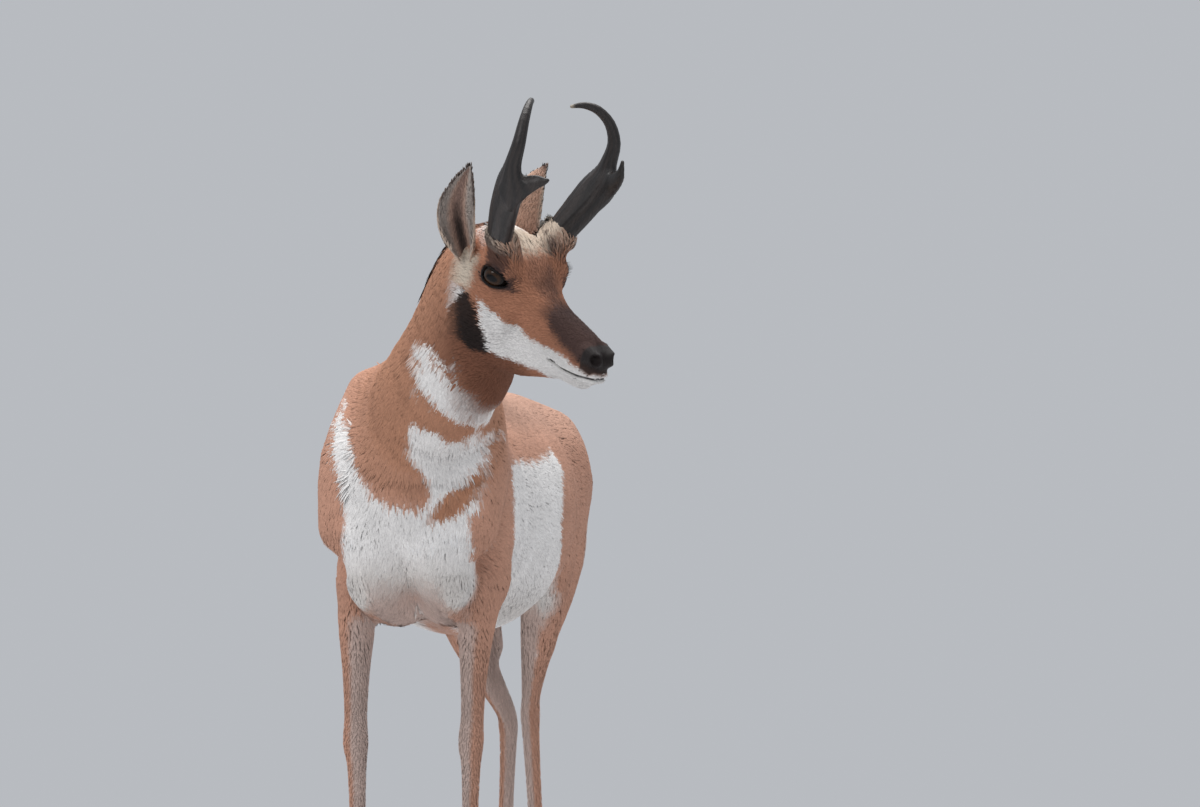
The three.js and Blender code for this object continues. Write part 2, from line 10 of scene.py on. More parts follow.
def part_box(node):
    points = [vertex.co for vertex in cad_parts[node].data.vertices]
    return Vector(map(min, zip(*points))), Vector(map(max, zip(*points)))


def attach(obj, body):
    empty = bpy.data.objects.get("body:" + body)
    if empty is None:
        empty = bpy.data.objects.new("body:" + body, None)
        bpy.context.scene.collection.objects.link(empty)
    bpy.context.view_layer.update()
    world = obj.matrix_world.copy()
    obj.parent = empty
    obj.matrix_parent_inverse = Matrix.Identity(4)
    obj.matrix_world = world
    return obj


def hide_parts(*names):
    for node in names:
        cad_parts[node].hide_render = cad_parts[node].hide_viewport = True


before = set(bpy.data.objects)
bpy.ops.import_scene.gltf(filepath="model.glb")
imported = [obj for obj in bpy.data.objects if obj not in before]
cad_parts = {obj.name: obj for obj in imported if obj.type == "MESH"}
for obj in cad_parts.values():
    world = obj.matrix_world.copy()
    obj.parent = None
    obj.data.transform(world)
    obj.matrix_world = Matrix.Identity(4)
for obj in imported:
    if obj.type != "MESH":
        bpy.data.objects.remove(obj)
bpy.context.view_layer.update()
scene = bpy.context.scene
random = np.random.default_rng(7)

# The flesh is written in millimetres with the fore feet at Y = 0, as the solids are
headPose = {"place": (231, -300, 971), "yaw": 59, "pitch": 35, "roll": 7}
eyeBall = {"radius": 21.0, "side": 54.0, "bedded": 1.5}
throatCut = {"point": (0, 92, 10), "normal": (0, -0.933, 0.359), "soft": 20, "reach": 330}


def boxMiddle(node):
    low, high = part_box(node)
    return np.array((low + high) / 2) * 1000


def turned(axis, degrees):
    return np.array(Matrix.Rotation(math.radians(degrees), 3, axis))


headPlace = np.array(headPose["place"], float)
headTurn = turned("Z", headPose["yaw"]) @ turned("X", headPose["pitch"]) @ turned("Y", -headPose["roll"])
shift = (boxMiddle("eye_left") + boxMiddle("eye_right")) / 2 - headPlace


def toFrame(points):
    return (np.asarray(points) + shift) / 1000


def fromFrame(points):
    return np.asarray(points) * 1000 - shift


def toHead(points):
    return (points - headPlace) @ headTurn


def fromHead(points):
    return np.asarray(points, float) @ headTurn.T + headPlace


def step(x, low, high):
    t = np.clip((x - low) / (high - low), 0, 1)
    return t * t * (3 - 2 * t)


def mixed(a, b, share):
    return a * (1 - share) + b * share


def unit(v):
    return v / np.maximum(np.linalg.norm(v, axis=-1, keepdims=True), 1e-9)


def foldedOver(points):  # both sides of a paired shape, brought onto its left side
    return np.column_stack([np.abs(points[:, 0]), points[:, 1:]])


# Sections of the flesh: [x, y, z, half width, half depth]
trunkRows = [
    [0, -95, 640, 60, 76], [0, -45, 650, 98, 120], [0, 20, 655, 118, 150], [0, 110, 645, 135, 172],
    [0, 220, 636, 149, 178], [0, 330, 637, 155, 176], [0, 430, 655, 149, 162], [0, 520, 688, 126, 138],
    [0, 600, 710, 112, 120], [0, 680, 715, 92, 100], [0, 722, 712, 70, 80],
]
backRows = [
    [0, -20, 800, 34, 40], [0, 40, 822, 44, 46], [0, 200, 795, 72, 50], [0, 400, 786, 68, 46],
    [0, 520, 790, 54, 43], [0, 620, 784, 50, 42], [0, 700, 762, 52, 42],
]
scapulaRows = [[72, 12, 804, 40, 58], [97, -24, 706, 46, 66], [95, -60, 612, 43, 48]]
tricepsRows = [[100, 70, 700, 38, 62], [98, 52, 590, 34, 52], [97, 40, 530, 29, 41]]
breastRows = [[40, -88, 600, 40, 46], [56, -40, 531, 42, 46], [40, 40, 500, 40, 36]]
rumpRows = [[52, 566, 750, 36, 43], [70, 620, 734, 48, 78], [72, 700, 705, 40, 62]]
hamstringRows = {
    "left": [[64, 704, 698, 42, 60], [72, 692, 615, 36, 62], [66, 656, 532, 29, 48], [52, 630, 456, 19, 32]],
    "right": [
        [-64, 704, 698, 42, 60], [-72, 706, 615, 36, 60], [-64, 698, 532, 29, 48], [-48, 708, 448, 19, 32],
    ],
}
thighRows = {
    "left": [[78, 612, 712, 44, 90], [86, 568, 630, 42, 80], [76, 546, 556, 34, 58]],
    "right": [[-78, 616, 712, 44, 90], [-90, 592, 632, 43, 80], [-80, 590, 556, 35, 57]],
}
neckRows = [
    [0, 45, 712, 74, 114], [16, -21, 746, 94, 132], [47, -92, 798, 89, 118], [94, -156, 856, 76, 106],
    [132, -207, 912, 64, 94], [153, -246, 955, 54, 82], [168, -266, 986, 49, 66],
]
tailRows = [
    [0, 716, 775, 24, 22], [0, 758, 758, 21, 16], [0, 784, 716, 18, 13], [0, 792, 668, 13, 9],
    [0, 790, 640, 5, 4],
]
foreLegShift = {"left": -8, "right": -5}  # the fore legs lean a little to the right
foreLegRows = [
    [98, 40, 545, 31, 44], [94, 26, 475, 28, 35], [92, 12, 400, 20.5, 25], [91, 6, 330, 17, 19],
    [90, 1, 290, 19, 21], [89, 5, 255, 14.5, 15.5], [88, 5, 190, 12, 13.5], [87, 4, 130, 12, 14],
    [86, 3, 102, 16, 18], [86, -10, 68, 14, 15], [86, -22, 42, 20, 21], [86, -26, 28, 20, 22],
]
hindLegRows = {
    "left": [
        [76, 548, 560, 34, 54], [64, 574, 490, 32, 42], [46, 608, 420, 21, 29], [33, 638, 368, 14, 24],
        [31, 642, 340, 15, 21], [33, 639, 300, 13, 16], [38, 638, 220, 11.5, 13.5], [43, 636, 135, 12, 14],
        [45, 634, 105, 15.5, 18], [47, 621, 70, 13.5, 15], [49, 609, 42, 19, 20], [49, 605, 28, 19, 21],
    ],
    "right": [
        [-82, 592, 558, 36, 56], [-72, 626, 482, 31, 42], [-50, 678, 410, 21, 29], [-32, 730, 356, 14, 24],
        [-27, 742, 328, 15, 21], [-28, 747, 290, 13, 16], [-33, 758, 220, 11.5, 13.5],
        [-38, 768, 135, 12, 14], [-40, 771, 105, 15.5, 18], [-42, 760, 70, 13.5, 15], [-44, 750, 42, 19, 20], [-44, 746, 28, 19, 21],
    ],
}

# The head faces -Y in its own frame, from midway between the eyes
skullRows = [
    [0, 88, -18, 36, 30], [0, 55, -4, 48, 42], [0, 20, -4, 54, 44], [0, -12, -10, 51, 41],
    [0, -45, -24, 41, 36], [0, -85, -34, 32, 36], [0, -130, -38, 27, 39], [0, -168, -38, 26, 37], [0, -189, -35, 20, 27],
]
jawRows = [
    [0, 22, -78, 34, 38], [0, -20, -82, 32, 35], [0, -70, -80, 26, 29], [0, -125, -77, 20, 19],
    [0, -162, -74, 16, 12], [0, -182, -72, 12, 9],
]
gulletRows = [
    [0, 98, -74, 48, 60], [0, 48, -98, 38, 48], [0, 0, -112, 29, 36], [0, -45, -114, 22, 29],
    [0, -82, -102, 18, 21], [0, -114, -88, 12, 12],
]
cheekRows = [[38, 12, -50, 17, 42], [36, -32, -55, 13, 32]]
orbitRows = [[46, 10, 0, 26, 30], [46, -8, 0, 25, 28]]
pedicleRows = [[38, 8, 14, 20, 28], [48, 14, 38, 18, 28], [57, 15, 52, 18.5, 28]]
nostrilRows = [[15, -184, -23, 13, 16], [14, -201, -21, 11, 13]]
upperLipRows = [[13, -150, -58, 15, 14], [12, -180, -56, 15, 13], [7, -202, -50, 12, 11]]


def smoothRows(rows, steps=3):
    rows = np.array(rows, float)
    last = len(rows) - 1
    out = []
    for i in range(last):
        a, b, c, d = rows[max(i - 1, 0)], rows[i], rows[i + 1], rows[min(i + 2, last)]
        for k in range(steps):
            t = k / steps
            out.append(b + 0.5 * t * (c - a + t * (2 * a - 5 * b + 4 * c - d + t * (3 * (b - c) + d - a))))
    return np.array(out + [rows[last]])


def makeForm(rows, across=((1, 0, 0),), paired=False):
    fine = smoothRows(rows)
    across = np.array(across, float)
    spans = []
    for i in range(len(fine) - 1):
        along = fine[i + 1, :3] - fine[i, :3]
        length = np.linalg.norm(along)
        along = along / length
        share = i / (len(fine) - 1) * (len(across) - 1)
        near = int(share)
        side = mixed(across[near], across[min(near + 1, len(across) - 1)], share - near)
        side = unit(side - along * (side @ along))
        spans.append((fine[i], fine[i + 1], along, length, side, np.cross(along, side)))
    reach = fine[:, 3:].max()
    return {
        "fine": fine, "spans": spans, "paired": paired,
        "low": fine[:, :3].min(0) - reach, "high": fine[:, :3].max(0) + reach,
    }


# Signed distance, share along the form and turn about it, for each point
def measure(form, points):
    best = np.full(len(points), 1e3)
    share, turn = np.zeros(len(points)), np.zeros(len(points))
    for n, (start, end, along, length, side, depth) in enumerate(form["spans"]):
        q = points - start[:3]
        far = q @ along
        reach = np.clip(far, 0, length)
        t = reach / length
        w, h = mixed(start[3], end[3], t), mixed(start[4], end[4], t)
        a, b, c = q @ side, q @ depth, far - reach
        e = np.minimum(w, h)
        k0 = np.sqrt((a / w) ** 2 + (b / h) ** 2 + (c / e) ** 2)
        k1 = np.sqrt((a / w / w) ** 2 + (b / h / h) ** 2 + (c / e / e) ** 2)
        d = np.where(k1 > 1e-9, k0 * (k0 - 1) / np.maximum(k1, 1e-9), -e)
        closer = d < best
        best = np.where(closer, d, best)
        share = np.where(closer, (n + t) / len(form["spans"]), share)
        turn = np.where(closer, np.arctan2(a / w, -b / h), turn)
    return best, share, turn


def softMin(a, b, blend):
    near = np.maximum(blend - np.abs(a - b), 0) / blend
    return np.minimum(a, b) - near * near * blend * 0.25


def flesh(parts, points):
    d = np.full(len(points), 1e3)
    folded = foldedOver(points)
    for form, blend in parts:
        q = folded if form["paired"] else points
        margin = blend + 30
        near = ((q > form["low"] - margin) & (q < form["high"] + margin)).all(1)
        if near.any():
            d[near] = softMin(d[near], measure(form, q[near])[0], blend)
    return d


headSide = headTurn[:, 0]
neckForm = makeForm(neckRows, ((1, 0, 0), (1, 0, 0), headSide, headSide))
sides = {"left": 1, "right": -1}


def foreLegRowsOf(name):
    rows = [[sides[name] * x, *rest] for x, *rest in foreLegRows]
    return rows[:1] + [[x + foreLegShift[name], *rest] for x, *rest in rows[1:]]


foreLegForms = {name: makeForm(foreLegRowsOf(name)) for name in sides}
hindLegForms = {name: makeForm(rows) for name, rows in hindLegRows.items()}
tailForm = makeForm(tailRows)
trunkParts = [
    (makeForm(trunkRows), 40), (makeForm(backRows), 45), (makeForm(scapulaRows, paired=True), 34),
    (makeForm(tricepsRows, paired=True), 30), (makeForm(breastRows, paired=True), 34),
    (makeForm(rumpRows, paired=True), 40),
    *[(makeForm(rows), 30) for rows in hamstringRows.values()],
    *[(makeForm(rows), 34) for rows in thighRows.values()],
]
bodyParts = [
    *trunkParts, (neckForm, 60), *[(form, 22) for form in foreLegForms.values()],
    *[(form, 28) for form in hindLegForms.values()], (tailForm, 14),
]
headOnlyParts = [
    (makeForm(skullRows), 10), (makeForm(jawRows), 22), (makeForm(gulletRows), 24),
    (makeForm(cheekRows, paired=True), 20), (makeForm(orbitRows, paired=True), 16),
    (makeForm(pedicleRows, paired=True), 14), (makeForm(nostrilRows, paired=True), 9),
    (makeForm(upperLipRows, paired=True), 9),
]
neckTopRows = [[*toHead(np.array(row[:3], float)), *row[3:]] for row in neckRows[3:]]
headParts = [*headOnlyParts, (makeForm(neckTopRows), 34)]

# Openings in the head, in its own frame, for its left side
eyeOpening = {"place": (80, -8, 0.5), "radii": (31, 31, 12.5), "soft": 3}
nostrilPit = {"place": (18.5, -207, -19), "radii": (6, 9.5, 6), "soft": 3}
lidSkin = {"thickness": 2.4, "soft": 8}
mouth = {
    "line": [(-121, -70), (-155, -65), (-186, -57), (-209, -50), (-232, -42)],  # [y, z] from the corner on
    "halfOpening": 1.1, "depth": 4.0, "soft": 2.2,
}


def ballDistance(points, place, radii):
    q = (points - np.array(place)) / np.array(radii, float)
    k0 = np.linalg.norm(q, axis=1)
    k1 = np.linalg.norm(q / np.array(radii, float), axis=1)
    return k0 * (k0 - 1) / np.maximum(k1, 1e-9)


def lineDistance(points, line):
    best = np.full(len(points), 1e9)
    for start, end in zip(np.array(line[:-1], float), np.array(line[1:], float)):
        along = end - start
        t = np.clip(((points - start) @ along) / (along @ along), 0, 1)
        best = np.minimum(best, np.linalg.norm(points - start - t[:, None] * along, axis=1))
    return best


def mouthGroove(local, d):
    aside = lineDistance(local[:, 1:], mouth["line"]) - mouth["halfOpening"]
    return -softMin(-d, np.maximum(aside, -d - mouth["depth"]), mouth["soft"])


def headSurface(local):
    d = flesh(headParts, local)
    folded = foldedOver(local)
    eyePlace = (eyeBall["side"], 0, 0)
    lid = eyeBall["radius"] + lidSkin["thickness"]
    d = softMin(d, ballDistance(folded, eyePlace, (lid,) * 3), lidSkin["soft"])
    for pit in (eyeOpening, nostrilPit):
        d = -softMin(-d, ballDistance(folded, pit["place"], pit["radii"]), pit["soft"])
    d = mouthGroove(local, d)
    return -softMin(-d, ballDistance(folded, eyePlace, (eyeBall["radius"] - eyeBall["bedded"],) * 3), 1)


# How much a point belongs to the head rather than the neck
def headShare(points):
    local = toHead(points)
    beyond = (local - throatCut["point"]) @ np.array(throatCut["normal"])
    near = np.linalg.norm(local, axis=1) < throatCut["reach"]
    return step(beyond, -throatCut["soft"], throatCut["soft"]) * near


def surface(points):
    d = flesh(bodyParts, points)
    share = headShare(points)
    near = share > 0
    d[near] = mixed(d[near], headSurface(toHead(points[near])), share[near])
    return d


# How far the tips of the coat stand out from the skin
coatDepths = {"lowerLegs": 1.3, "body": 4.6, "rump": 6.5, "tail": 0.4, "head": 1.2}


def coatDepth(points):
    x, y, z = points.T
    depth = mixed(coatDepths["lowerLegs"], coatDepths["body"], step(z, 380, 560))
    depth = np.maximum(depth, coatDepths["rump"] * step(y, 620, 720) * step(z, 500, 620))
    depth = mixed(depth, coatDepths["tail"], step(y, 742, 768) * step(-np.abs(x), -40, -26))
    local = toHead(points)
    head = step(-local[:, 1], -110, -10) * (np.linalg.norm(local, axis=1) < throatCut["reach"])
    return mixed(depth, coatDepths["head"], head)


# Skin
skinSizes = {"voxel": 0.0067, "rounds": 9, "around": 20}


def linked(name, data):
    made = bpy.data.objects.new(name, data)
    scene.collection.objects.link(made)
    return made


def smoothed(mesh):
    mesh.polygons.foreach_set("use_smooth", [True] * len(mesh.polygons))
    return mesh


def meshObject(name, points, faces):
    mesh = bpy.data.meshes.new(name)
    mesh.from_pydata(points.tolist(), [], faces)
    mesh.update()
    return linked(name, smoothed(mesh))


def reworked(mesh, work):
    bm = bmesh.new()
    bm.from_mesh(mesh)
    work(bm)
    bm.to_mesh(mesh)
    bm.free()


def turnOutwards(mesh):
    reworked(mesh, lambda bm: bmesh.ops.recalc_face_normals(bm, faces=bm.faces))


def ringTurns(around):
    return np.arange(around) * 2 * np.pi / around


# Oval rings round a form, with rounded ends
def tubeRings(form, around, mirrored=False):
    spans = form["spans"]
    rows = [(span[0], span) for span in spans] + [(spans[-1][1], spans[-1])]
    domes = [(0.5, 0.87), (0.87, 0.5), (0.99, 0.12)]  # [lean along the form, share of its width]
    turns = ringTurns(around)

    def ring(row, span, lean=0.0, scale=1.0):
        centre = row[:3] + span[2] * lean * min(row[3:])
        side = np.outer(np.cos(turns) * row[3] * scale, span[4])
        out = centre + side + np.outer(np.sin(turns) * row[4] * scale, span[5])
        return out * [-1, 1, 1] if mirrored else out

    return [
        *(ring(*rows[0], -lean, scale) for lean, scale in reversed(domes)), *(ring(*row) for row in rows),
        *(ring(*rows[-1], lean, scale) for lean, scale in domes),
    ]


def closedTube(rings):
    around = len(rings[0])
    points = np.vstack(rings)
    faces = []
    for r in range(len(rings) - 1):
        for n in range(around):
            m = (n + 1) % around
            faces.append((r * around + n, r * around + m, (r + 1) * around + m, (r + 1) * around + n))
    faces.append(tuple(reversed(range(around))))
    faces.append(tuple((len(rings) - 1) * around + n for n in range(around)))
    return points, faces


def joined(shells, place):
    points, faces, count = [], [], 0
    for shellPoints, shellFaces in shells:
        points.append(shellPoints)
        faces += [tuple(v + count for v in face) for face in shellFaces]
        count += len(shellPoints)
    return place(np.vstack(points)), faces


# The object's mesh with its modifiers worked in; the object itself is dropped
def evaluatedCopy(made, name):
    depsgraph = bpy.context.evaluated_depsgraph_get()
    mesh = bpy.data.meshes.new_from_object(made.evaluated_get(depsgraph))
    mesh.name = name
    bpy.data.objects.remove(made)
    return mesh


def remeshed(shells, place, voxel, name):
    made = meshObject(name, *joined(shells, place))
    turnOutwards(made.data)
    remesh = made.modifiers.new("Remesh", "REMESH")
    remesh.mode = "VOXEL"
    remesh.voxel_size = voxel
    return evaluatedCopy(made, name)


def vertexArray(mesh, what="co"):
    out = np.zeros(len(mesh.vertices) * 3, np.float32)
    source, key = (mesh.vertices, "co") if what == "co" else (mesh.vertex_normals, "vector")
    source.foreach_get(key, out)
    return out.reshape(-1, 3).astype(float)


def neighbourMean(mesh, points):
    edges = np.zeros(len(mesh.edges) * 2, np.int32)
    mesh.edges.foreach_get("vertices", edges)
    a, b = edges.reshape(-1, 2).T
    count = np.bincount(a, minlength=len(points)) + np.bincount(b, minlength=len(points))
    total = [
        np.bincount(a, points[b, k], len(points)) + np.bincount(b, points[a, k], len(points))
        for k in range(3)
    ]
    return np.array(total).T / np.maximum(count, 1)[:, None]


# Moves a mesh onto the place where distance is 0, and evens its points out on the way
def settle(mesh, distance, rounds, even=0.5, most=9):
    for n in range(rounds):
        tangential = 0.0 if n < rounds // 2 else 0.9
        points, normals = vertexArray(mesh), vertexArray(mesh, "normal")
        move = np.clip(distance(points), -most, most) / 1000
        points -= normals * move[:, None]
        if n < rounds - 2:
            slide = (neighbourMean(mesh, points) - points) * even
            points += slide - normals * (slide * normals).sum(1)[:, None] * tangential
        mesh.vertices.foreach_set("co", points.astype(np.float32).ravel())
        mesh.update()


def skinLevel(points):
    part = fromFrame(points)
    return surface(part) + coatDepth(part)


# Fills the hollow between the two sides of the breast, so that the skin has no tunnel there
breastPlug = makeForm([[0, -76, 560, 40, 40], [0, -30, 534, 42, 40], [0, 30, 515, 40, 34]])
shells = []
for parts, place in (([(breastPlug, 0), *bodyParts], np.asarray), (headOnlyParts, fromHead)):
    for form, _ in parts:
        for mirrored in {False, form["paired"]}:
            points, faces = closedTube(tubeRings(form, skinSizes["around"], mirrored))
            shells.append((place(points), faces))
skinMesh = remeshed(shells, toFrame, skinSizes["voxel"], "skin")
settle(skinMesh, skinLevel, skinSizes["rounds"])
print("skin, whole:", len(skinMesh.vertices), "points")


# Splits the faces whose points are all wanted
def refine(mesh, wanted):
    chosen = wanted(fromFrame(vertexArray(mesh)))

    def split(bm):
        bm.verts.ensure_lookup_table()
        edges = [e for e in bm.edges if chosen[e.verts[0].index] and chosen[e.verts[1].index]]
        bmesh.ops.subdivide_edges(bm, edges=edges, cuts=1, use_grid_fill=True)

    reworked(mesh, split)


def onHead(points):
    return (headShare(points) > 0.3) & (np.linalg.norm(toHead(points), axis=1) < 320)


def onFace(points):
    local = foldedOver(toHead(points))
    eye = np.linalg.norm(local - [60, -3, 0], axis=1) < 36
    muzzle = (local[:, 1] < -112) & (local[:, 2] > -100)
    return onHead(points) & (eye | muzzle)


def onLowerLegs(points):
    return points[:, 2] < 400


refine(skinMesh, lambda p: onHead(p) | onLowerLegs(p))
settle(skinMesh, skinLevel, 4, 0.4, 4)
refine(skinMesh, onFace)
settle(skinMesh, skinLevel, 5, 0.35, 3)
print("skin, face:", len(skinMesh.vertices), "points")


# Ears: a leaf curled into a cup, the left one turned outwards and the right one forwards
ear = {
    "root": (50, 74, -16), "thickness": 3.4, "across": 18, "steps": 5,
    "halfWidths": (14, 21, 26, 27, 23, 14, 3), "halfCurls": (150, 116, 90, 72, 60, 49, 40),
    "left": {"tip": (76, 104, 113), "bow": (0, 16, 0), "opening": (0.96, 0.2, 0.1)},
    "right": {"tip": (78, 106, 121), "bow": (18, 6, 0), "opening": (0.72, -0.68, 0.1)},
}


# The ear's points, the share of each from root to tip, and whether it lies inside the cup
def earShell(name):
    flip = [sides[name], 1, 1]
    root, tip, bow, opening = (
        np.array(v) * flip for v in (ear["root"], *(ear[name][k] for k in ("tip", "bow", "opening")))
    )
    along = unit(tip - root)
    opening = unit(opening - along * (opening @ along))
    across = np.cross(along, opening)
    rows = smoothRows(list(zip(ear["halfWidths"], ear["halfCurls"])), ear["steps"])
    ways = np.linspace(-1, 1, ear["across"] + 1)
    rings = []
    for i, (halfWidth, halfCurl) in enumerate(rows):
        share = i / (len(rows) - 1)
        centre = root + (tip - root) * share + bow * math.sin(math.pi * share)
        curl = math.radians(halfCurl)
        radius = halfWidth / math.sin(min(curl, math.pi / 2))
        wall = min(ear["thickness"] * (1 - 0.5 * share), radius * 0.6)

        def leaf(v, r):
            sideways = np.outer(r * np.sin(v * curl), across)
            return centre + sideways + np.outer(radius * 0.5 - r * np.cos(v * curl), opening)

        rings.append(np.vstack([leaf(ways, radius), leaf(ways[::-1] * 0.97, radius - wall)]))
    points, faces = closedTube(rings)
    return {
        "points": fromHead(points), "faces": faces, "along": headTurn @ along,
        "share": np.repeat(np.linspace(0, 1, len(rows)), 2 * len(ways)),
        "inner": np.tile(np.repeat([0.0, 1.0], len(ways)), len(rows)),
        "edge": np.abs(np.tile(np.concatenate([ways, ways[::-1]]), len(rows))),
    }


# Lids: a rim along the edge of each eye's opening
lids = {"around": 44, "thick": 1.8, "sunk": 0.4, "sides": 8, "corner": (50.5, -32, -2), "halvings": 30}


def lidCurve(side, lift=0.0):
    place, radii = np.array(eyeOpening["place"], float), np.array(eyeOpening["radii"], float)
    reach = eyeBall["radius"] + lidSkin["thickness"] - lids["sunk"] + lift
    out = []
    for turn in np.linspace(0, 2 * np.pi, lids["around"], endpoint=False):
        low, high = 0.0, reach
        for _ in range(lids["halvings"]):
            s = (low + high) / 2
            y, z = place[1] + s * math.cos(turn), place[2] + s * math.sin(turn)
            x = eyeBall["side"] + math.sqrt(max(reach ** 2 - y * y - z * z, 0))
            clear = (((np.array([x, y, z]) - place) / radii) ** 2).sum() < 1
            low, high = (s, high) if clear and y * y + z * z < reach ** 2 else (low, s)
        out.append((x, y, z))
    out = np.array(out)
    pull = step(-out[:, 1], 13, 23)[:, None] * (1 - np.abs(out[:, 2:] - 1) / 14)
    return mixed(out, np.array(lids["corner"], float), pull) * [side, 1, 1]


def ringTube(path, thick, around):
    count = len(path)
    ahead = unit(np.roll(path, -1, 0) - np.roll(path, 1, 0))
    out = unit(path - path.mean(0))
    out = unit(out - ahead * (out * ahead).sum(1)[:, None])
    other = np.cross(ahead, out)
    turns = ringTurns(around)
    points = np.vstack([
        path[i] + np.outer(np.cos(turns) * thick, out[i]) + np.outer(np.sin(turns) * thick, other[i])
        for i in range(count)
    ])
    faces = []
    for r in range(count):
        here, there = r * around, (r + 1) % count * around
        for n in range(around):
            m = (n + 1) % around
            faces.append((here + n, here + m, there + m, there + n))
    return points, faces


# Adds closed shells to a mesh, their faces turned outwards
def joinShells(mesh, shells, place=toFrame):
    extra = meshObject("extra", *joined(shells, place))
    turnOutwards(extra.data)
    reworked(mesh, lambda bm: bm.from_mesh(extra.data))
    bpy.data.objects.remove(extra)


def headToFrame(points):
    return toFrame(fromHead(points))


earShells = {name: earShell(name) for name in sides}
fleshCount = len(skinMesh.vertices)
joinShells(skinMesh, [(shell["points"], shell["faces"]) for shell in earShells.values()])
lidRings = [ringTube(lidCurve(side), lids["thick"], lids["sides"]) for side in sides.values()]
joinShells(skinMesh, lidRings, headToFrame)
print("skin, ears and lids:", len(skinMesh.vertices), "points")

# Colours of the coat, as the share of light they give back
shades = {name: np.array(c) for name, c in {
    "tan": (0.56, 0.305, 0.215), "litWithersTan": (0.56, 0.335, 0.25), "neckBrown": (0.46, 0.225, 0.135),
    "throatBrown": (0.15, 0.060, 0.036), "white": (0.88, 0.86, 0.84), "cream": (0.68, 0.58, 0.47),
    "underShadeGrey": (0.60, 0.55, 0.50), "legPale": (0.58, 0.44, 0.385), "earGrey": (0.46, 0.40, 0.36),
    "faceTan": (0.44, 0.20, 0.12), "noseBrown": (0.060, 0.038, 0.036), "black": (0.012, 0.010, 0.010),
    "hoofEdge": (0.10, 0.075, 0.06), "lid": (0.010, 0.008, 0.008), "earPink": (0.30, 0.20, 0.17),
}.items()}
degree = 1.5  # millimetres of neck for each degree about it
marks = {
    "crescent": [  # [turn, height] on the neck
        (-92, 890), (-70, 873), (-43, 842), (-12, 806), (18, 789), (41, 790), (70, 812), (104, 862),
        (84, 800), (58, 771), (25, 765), (-3, 772), (-32, 799), (-53, 828), (-80, 868),
    ],
    "chest": [  # [x, z] seen from the front
        (-90, 800), (-97, 747), (-82, 684), (-80, 632), (-104, 568), (-112, 500), (104, 500), (101, 531),
        (104, 575), (101, 631), (112, 683), (125, 739), (134, 757), (111, 740), (91, 744), (72, 756),
        (50, 775), (32, 748), (35, 721), (47, 692), (53, 672), (45, 656), (29, 645), (4, 650), (-29, 671),
        (-55, 713), (-80, 768),
    ],
    "chestPatch": [(47, 628), (54, 652), (66, 668), (91, 688), (116, 716), (117, 700), (104, 664), (79, 639)],
    "flank": [  # [y, z] from the side
        (18, 712), (120, 716), (197, 720), (290, 731), (345, 742), (352, 712), (322, 690), (292, 655),
        (285, 629), (305, 597), (352, 556), (450, 505), (560, 440), (120, 440), (62, 560), (36, 640),
    ],
    "cheekWhite": [  # [y, z] on the side of the head
        (8, -50), (-41, -56), (-83, -62), (-120, -52), (-150, -45), (-178, -46), (-205, -44), (-240, -38),
        (-230, -110), (-160, -104), (-112, -96), (-60, -112), (-16, -124), (-6, -94),
    ],
    "cheekBlack": [
        (70, -72), (62, -114), (33, -130), (6, -136), (-20, -126), (-6, -92), (8, -68), (30, -56), (52, -58),
    ],
    "eyeDark": [(24, -6), (15, 14), (-12, 19), (-29, 9), (-42, -4), (-27, -10), (-6, -16), (12, -15)],
    "browDark": [(-34, 6), (-18, 24), (-10, 44), (12, 50), (24, 40), (20, 20), (2, 12)],
    "noseDark": [(-56, 10), (-84, -14), (-128, -32), (-168, -37), (-240, -40), (-240, 60), (-56, 60)],
    "nosePad": [(-183, -18), (-186, -46), (-200, -44), (-214, -41), (-240, -36), (-240, 40), (-186, 10)],
    "earPatch": [(40, -60), (72, -52), (92, -36), (86, -84), (62, -92)],
}


def outlineDistance(points, outline):
    corners = np.array(outline, float)
    best, inside = np.full(len(points), 1e9), np.zeros(len(points), bool)
    for a, b in zip(corners, np.roll(corners, -1, 0)):
        e = b - a
        w = points - a
        t = np.clip((w @ e) / (e @ e), 0, 1)
        best = np.minimum(best, ((w - t[:, None] * e) ** 2).sum(1))
        crosses = (a[1] > points[:, 1]) != (b[1] > points[:, 1])
        inside ^= crosses & (points[:, 0] < a[0] + (points[:, 1] - a[1]) * e[0] / (e[1] if e[1] else 1e-9))
    return np.where(inside, -1, 1) * np.sqrt(best)


def within(mark, u, v, soft=5.0):
    return step(-outlineDistance(np.column_stack([u, v]), marks[mark]), -soft, soft)


# A smooth, irregular field between about -1 and 1
def wave(points, size, phase=0.0):
    x, y, z = (points / size).T
    return (
        np.sin(1.7 * x + 2.1 * np.sin(1.3 * y + phase)) + np.sin(1.9 * y + 1.7 * np.sin(1.1 * z + 2 * phase))
        + np.sin(1.6 * z + 1.9 * np.sin(1.2 * x + 3 * phase))
    ) / 3


# Lays shades over one another, each by its share
def layered(colour, *layers):
    for shade, share in layers:
        colour = mixed(colour, shades[shade], share[:, None])
    return colour


def raggedly(points, reach, size):
    return points + reach * np.column_stack([wave(points, size, k) for k in (1.0, 2.0, 3.0)])


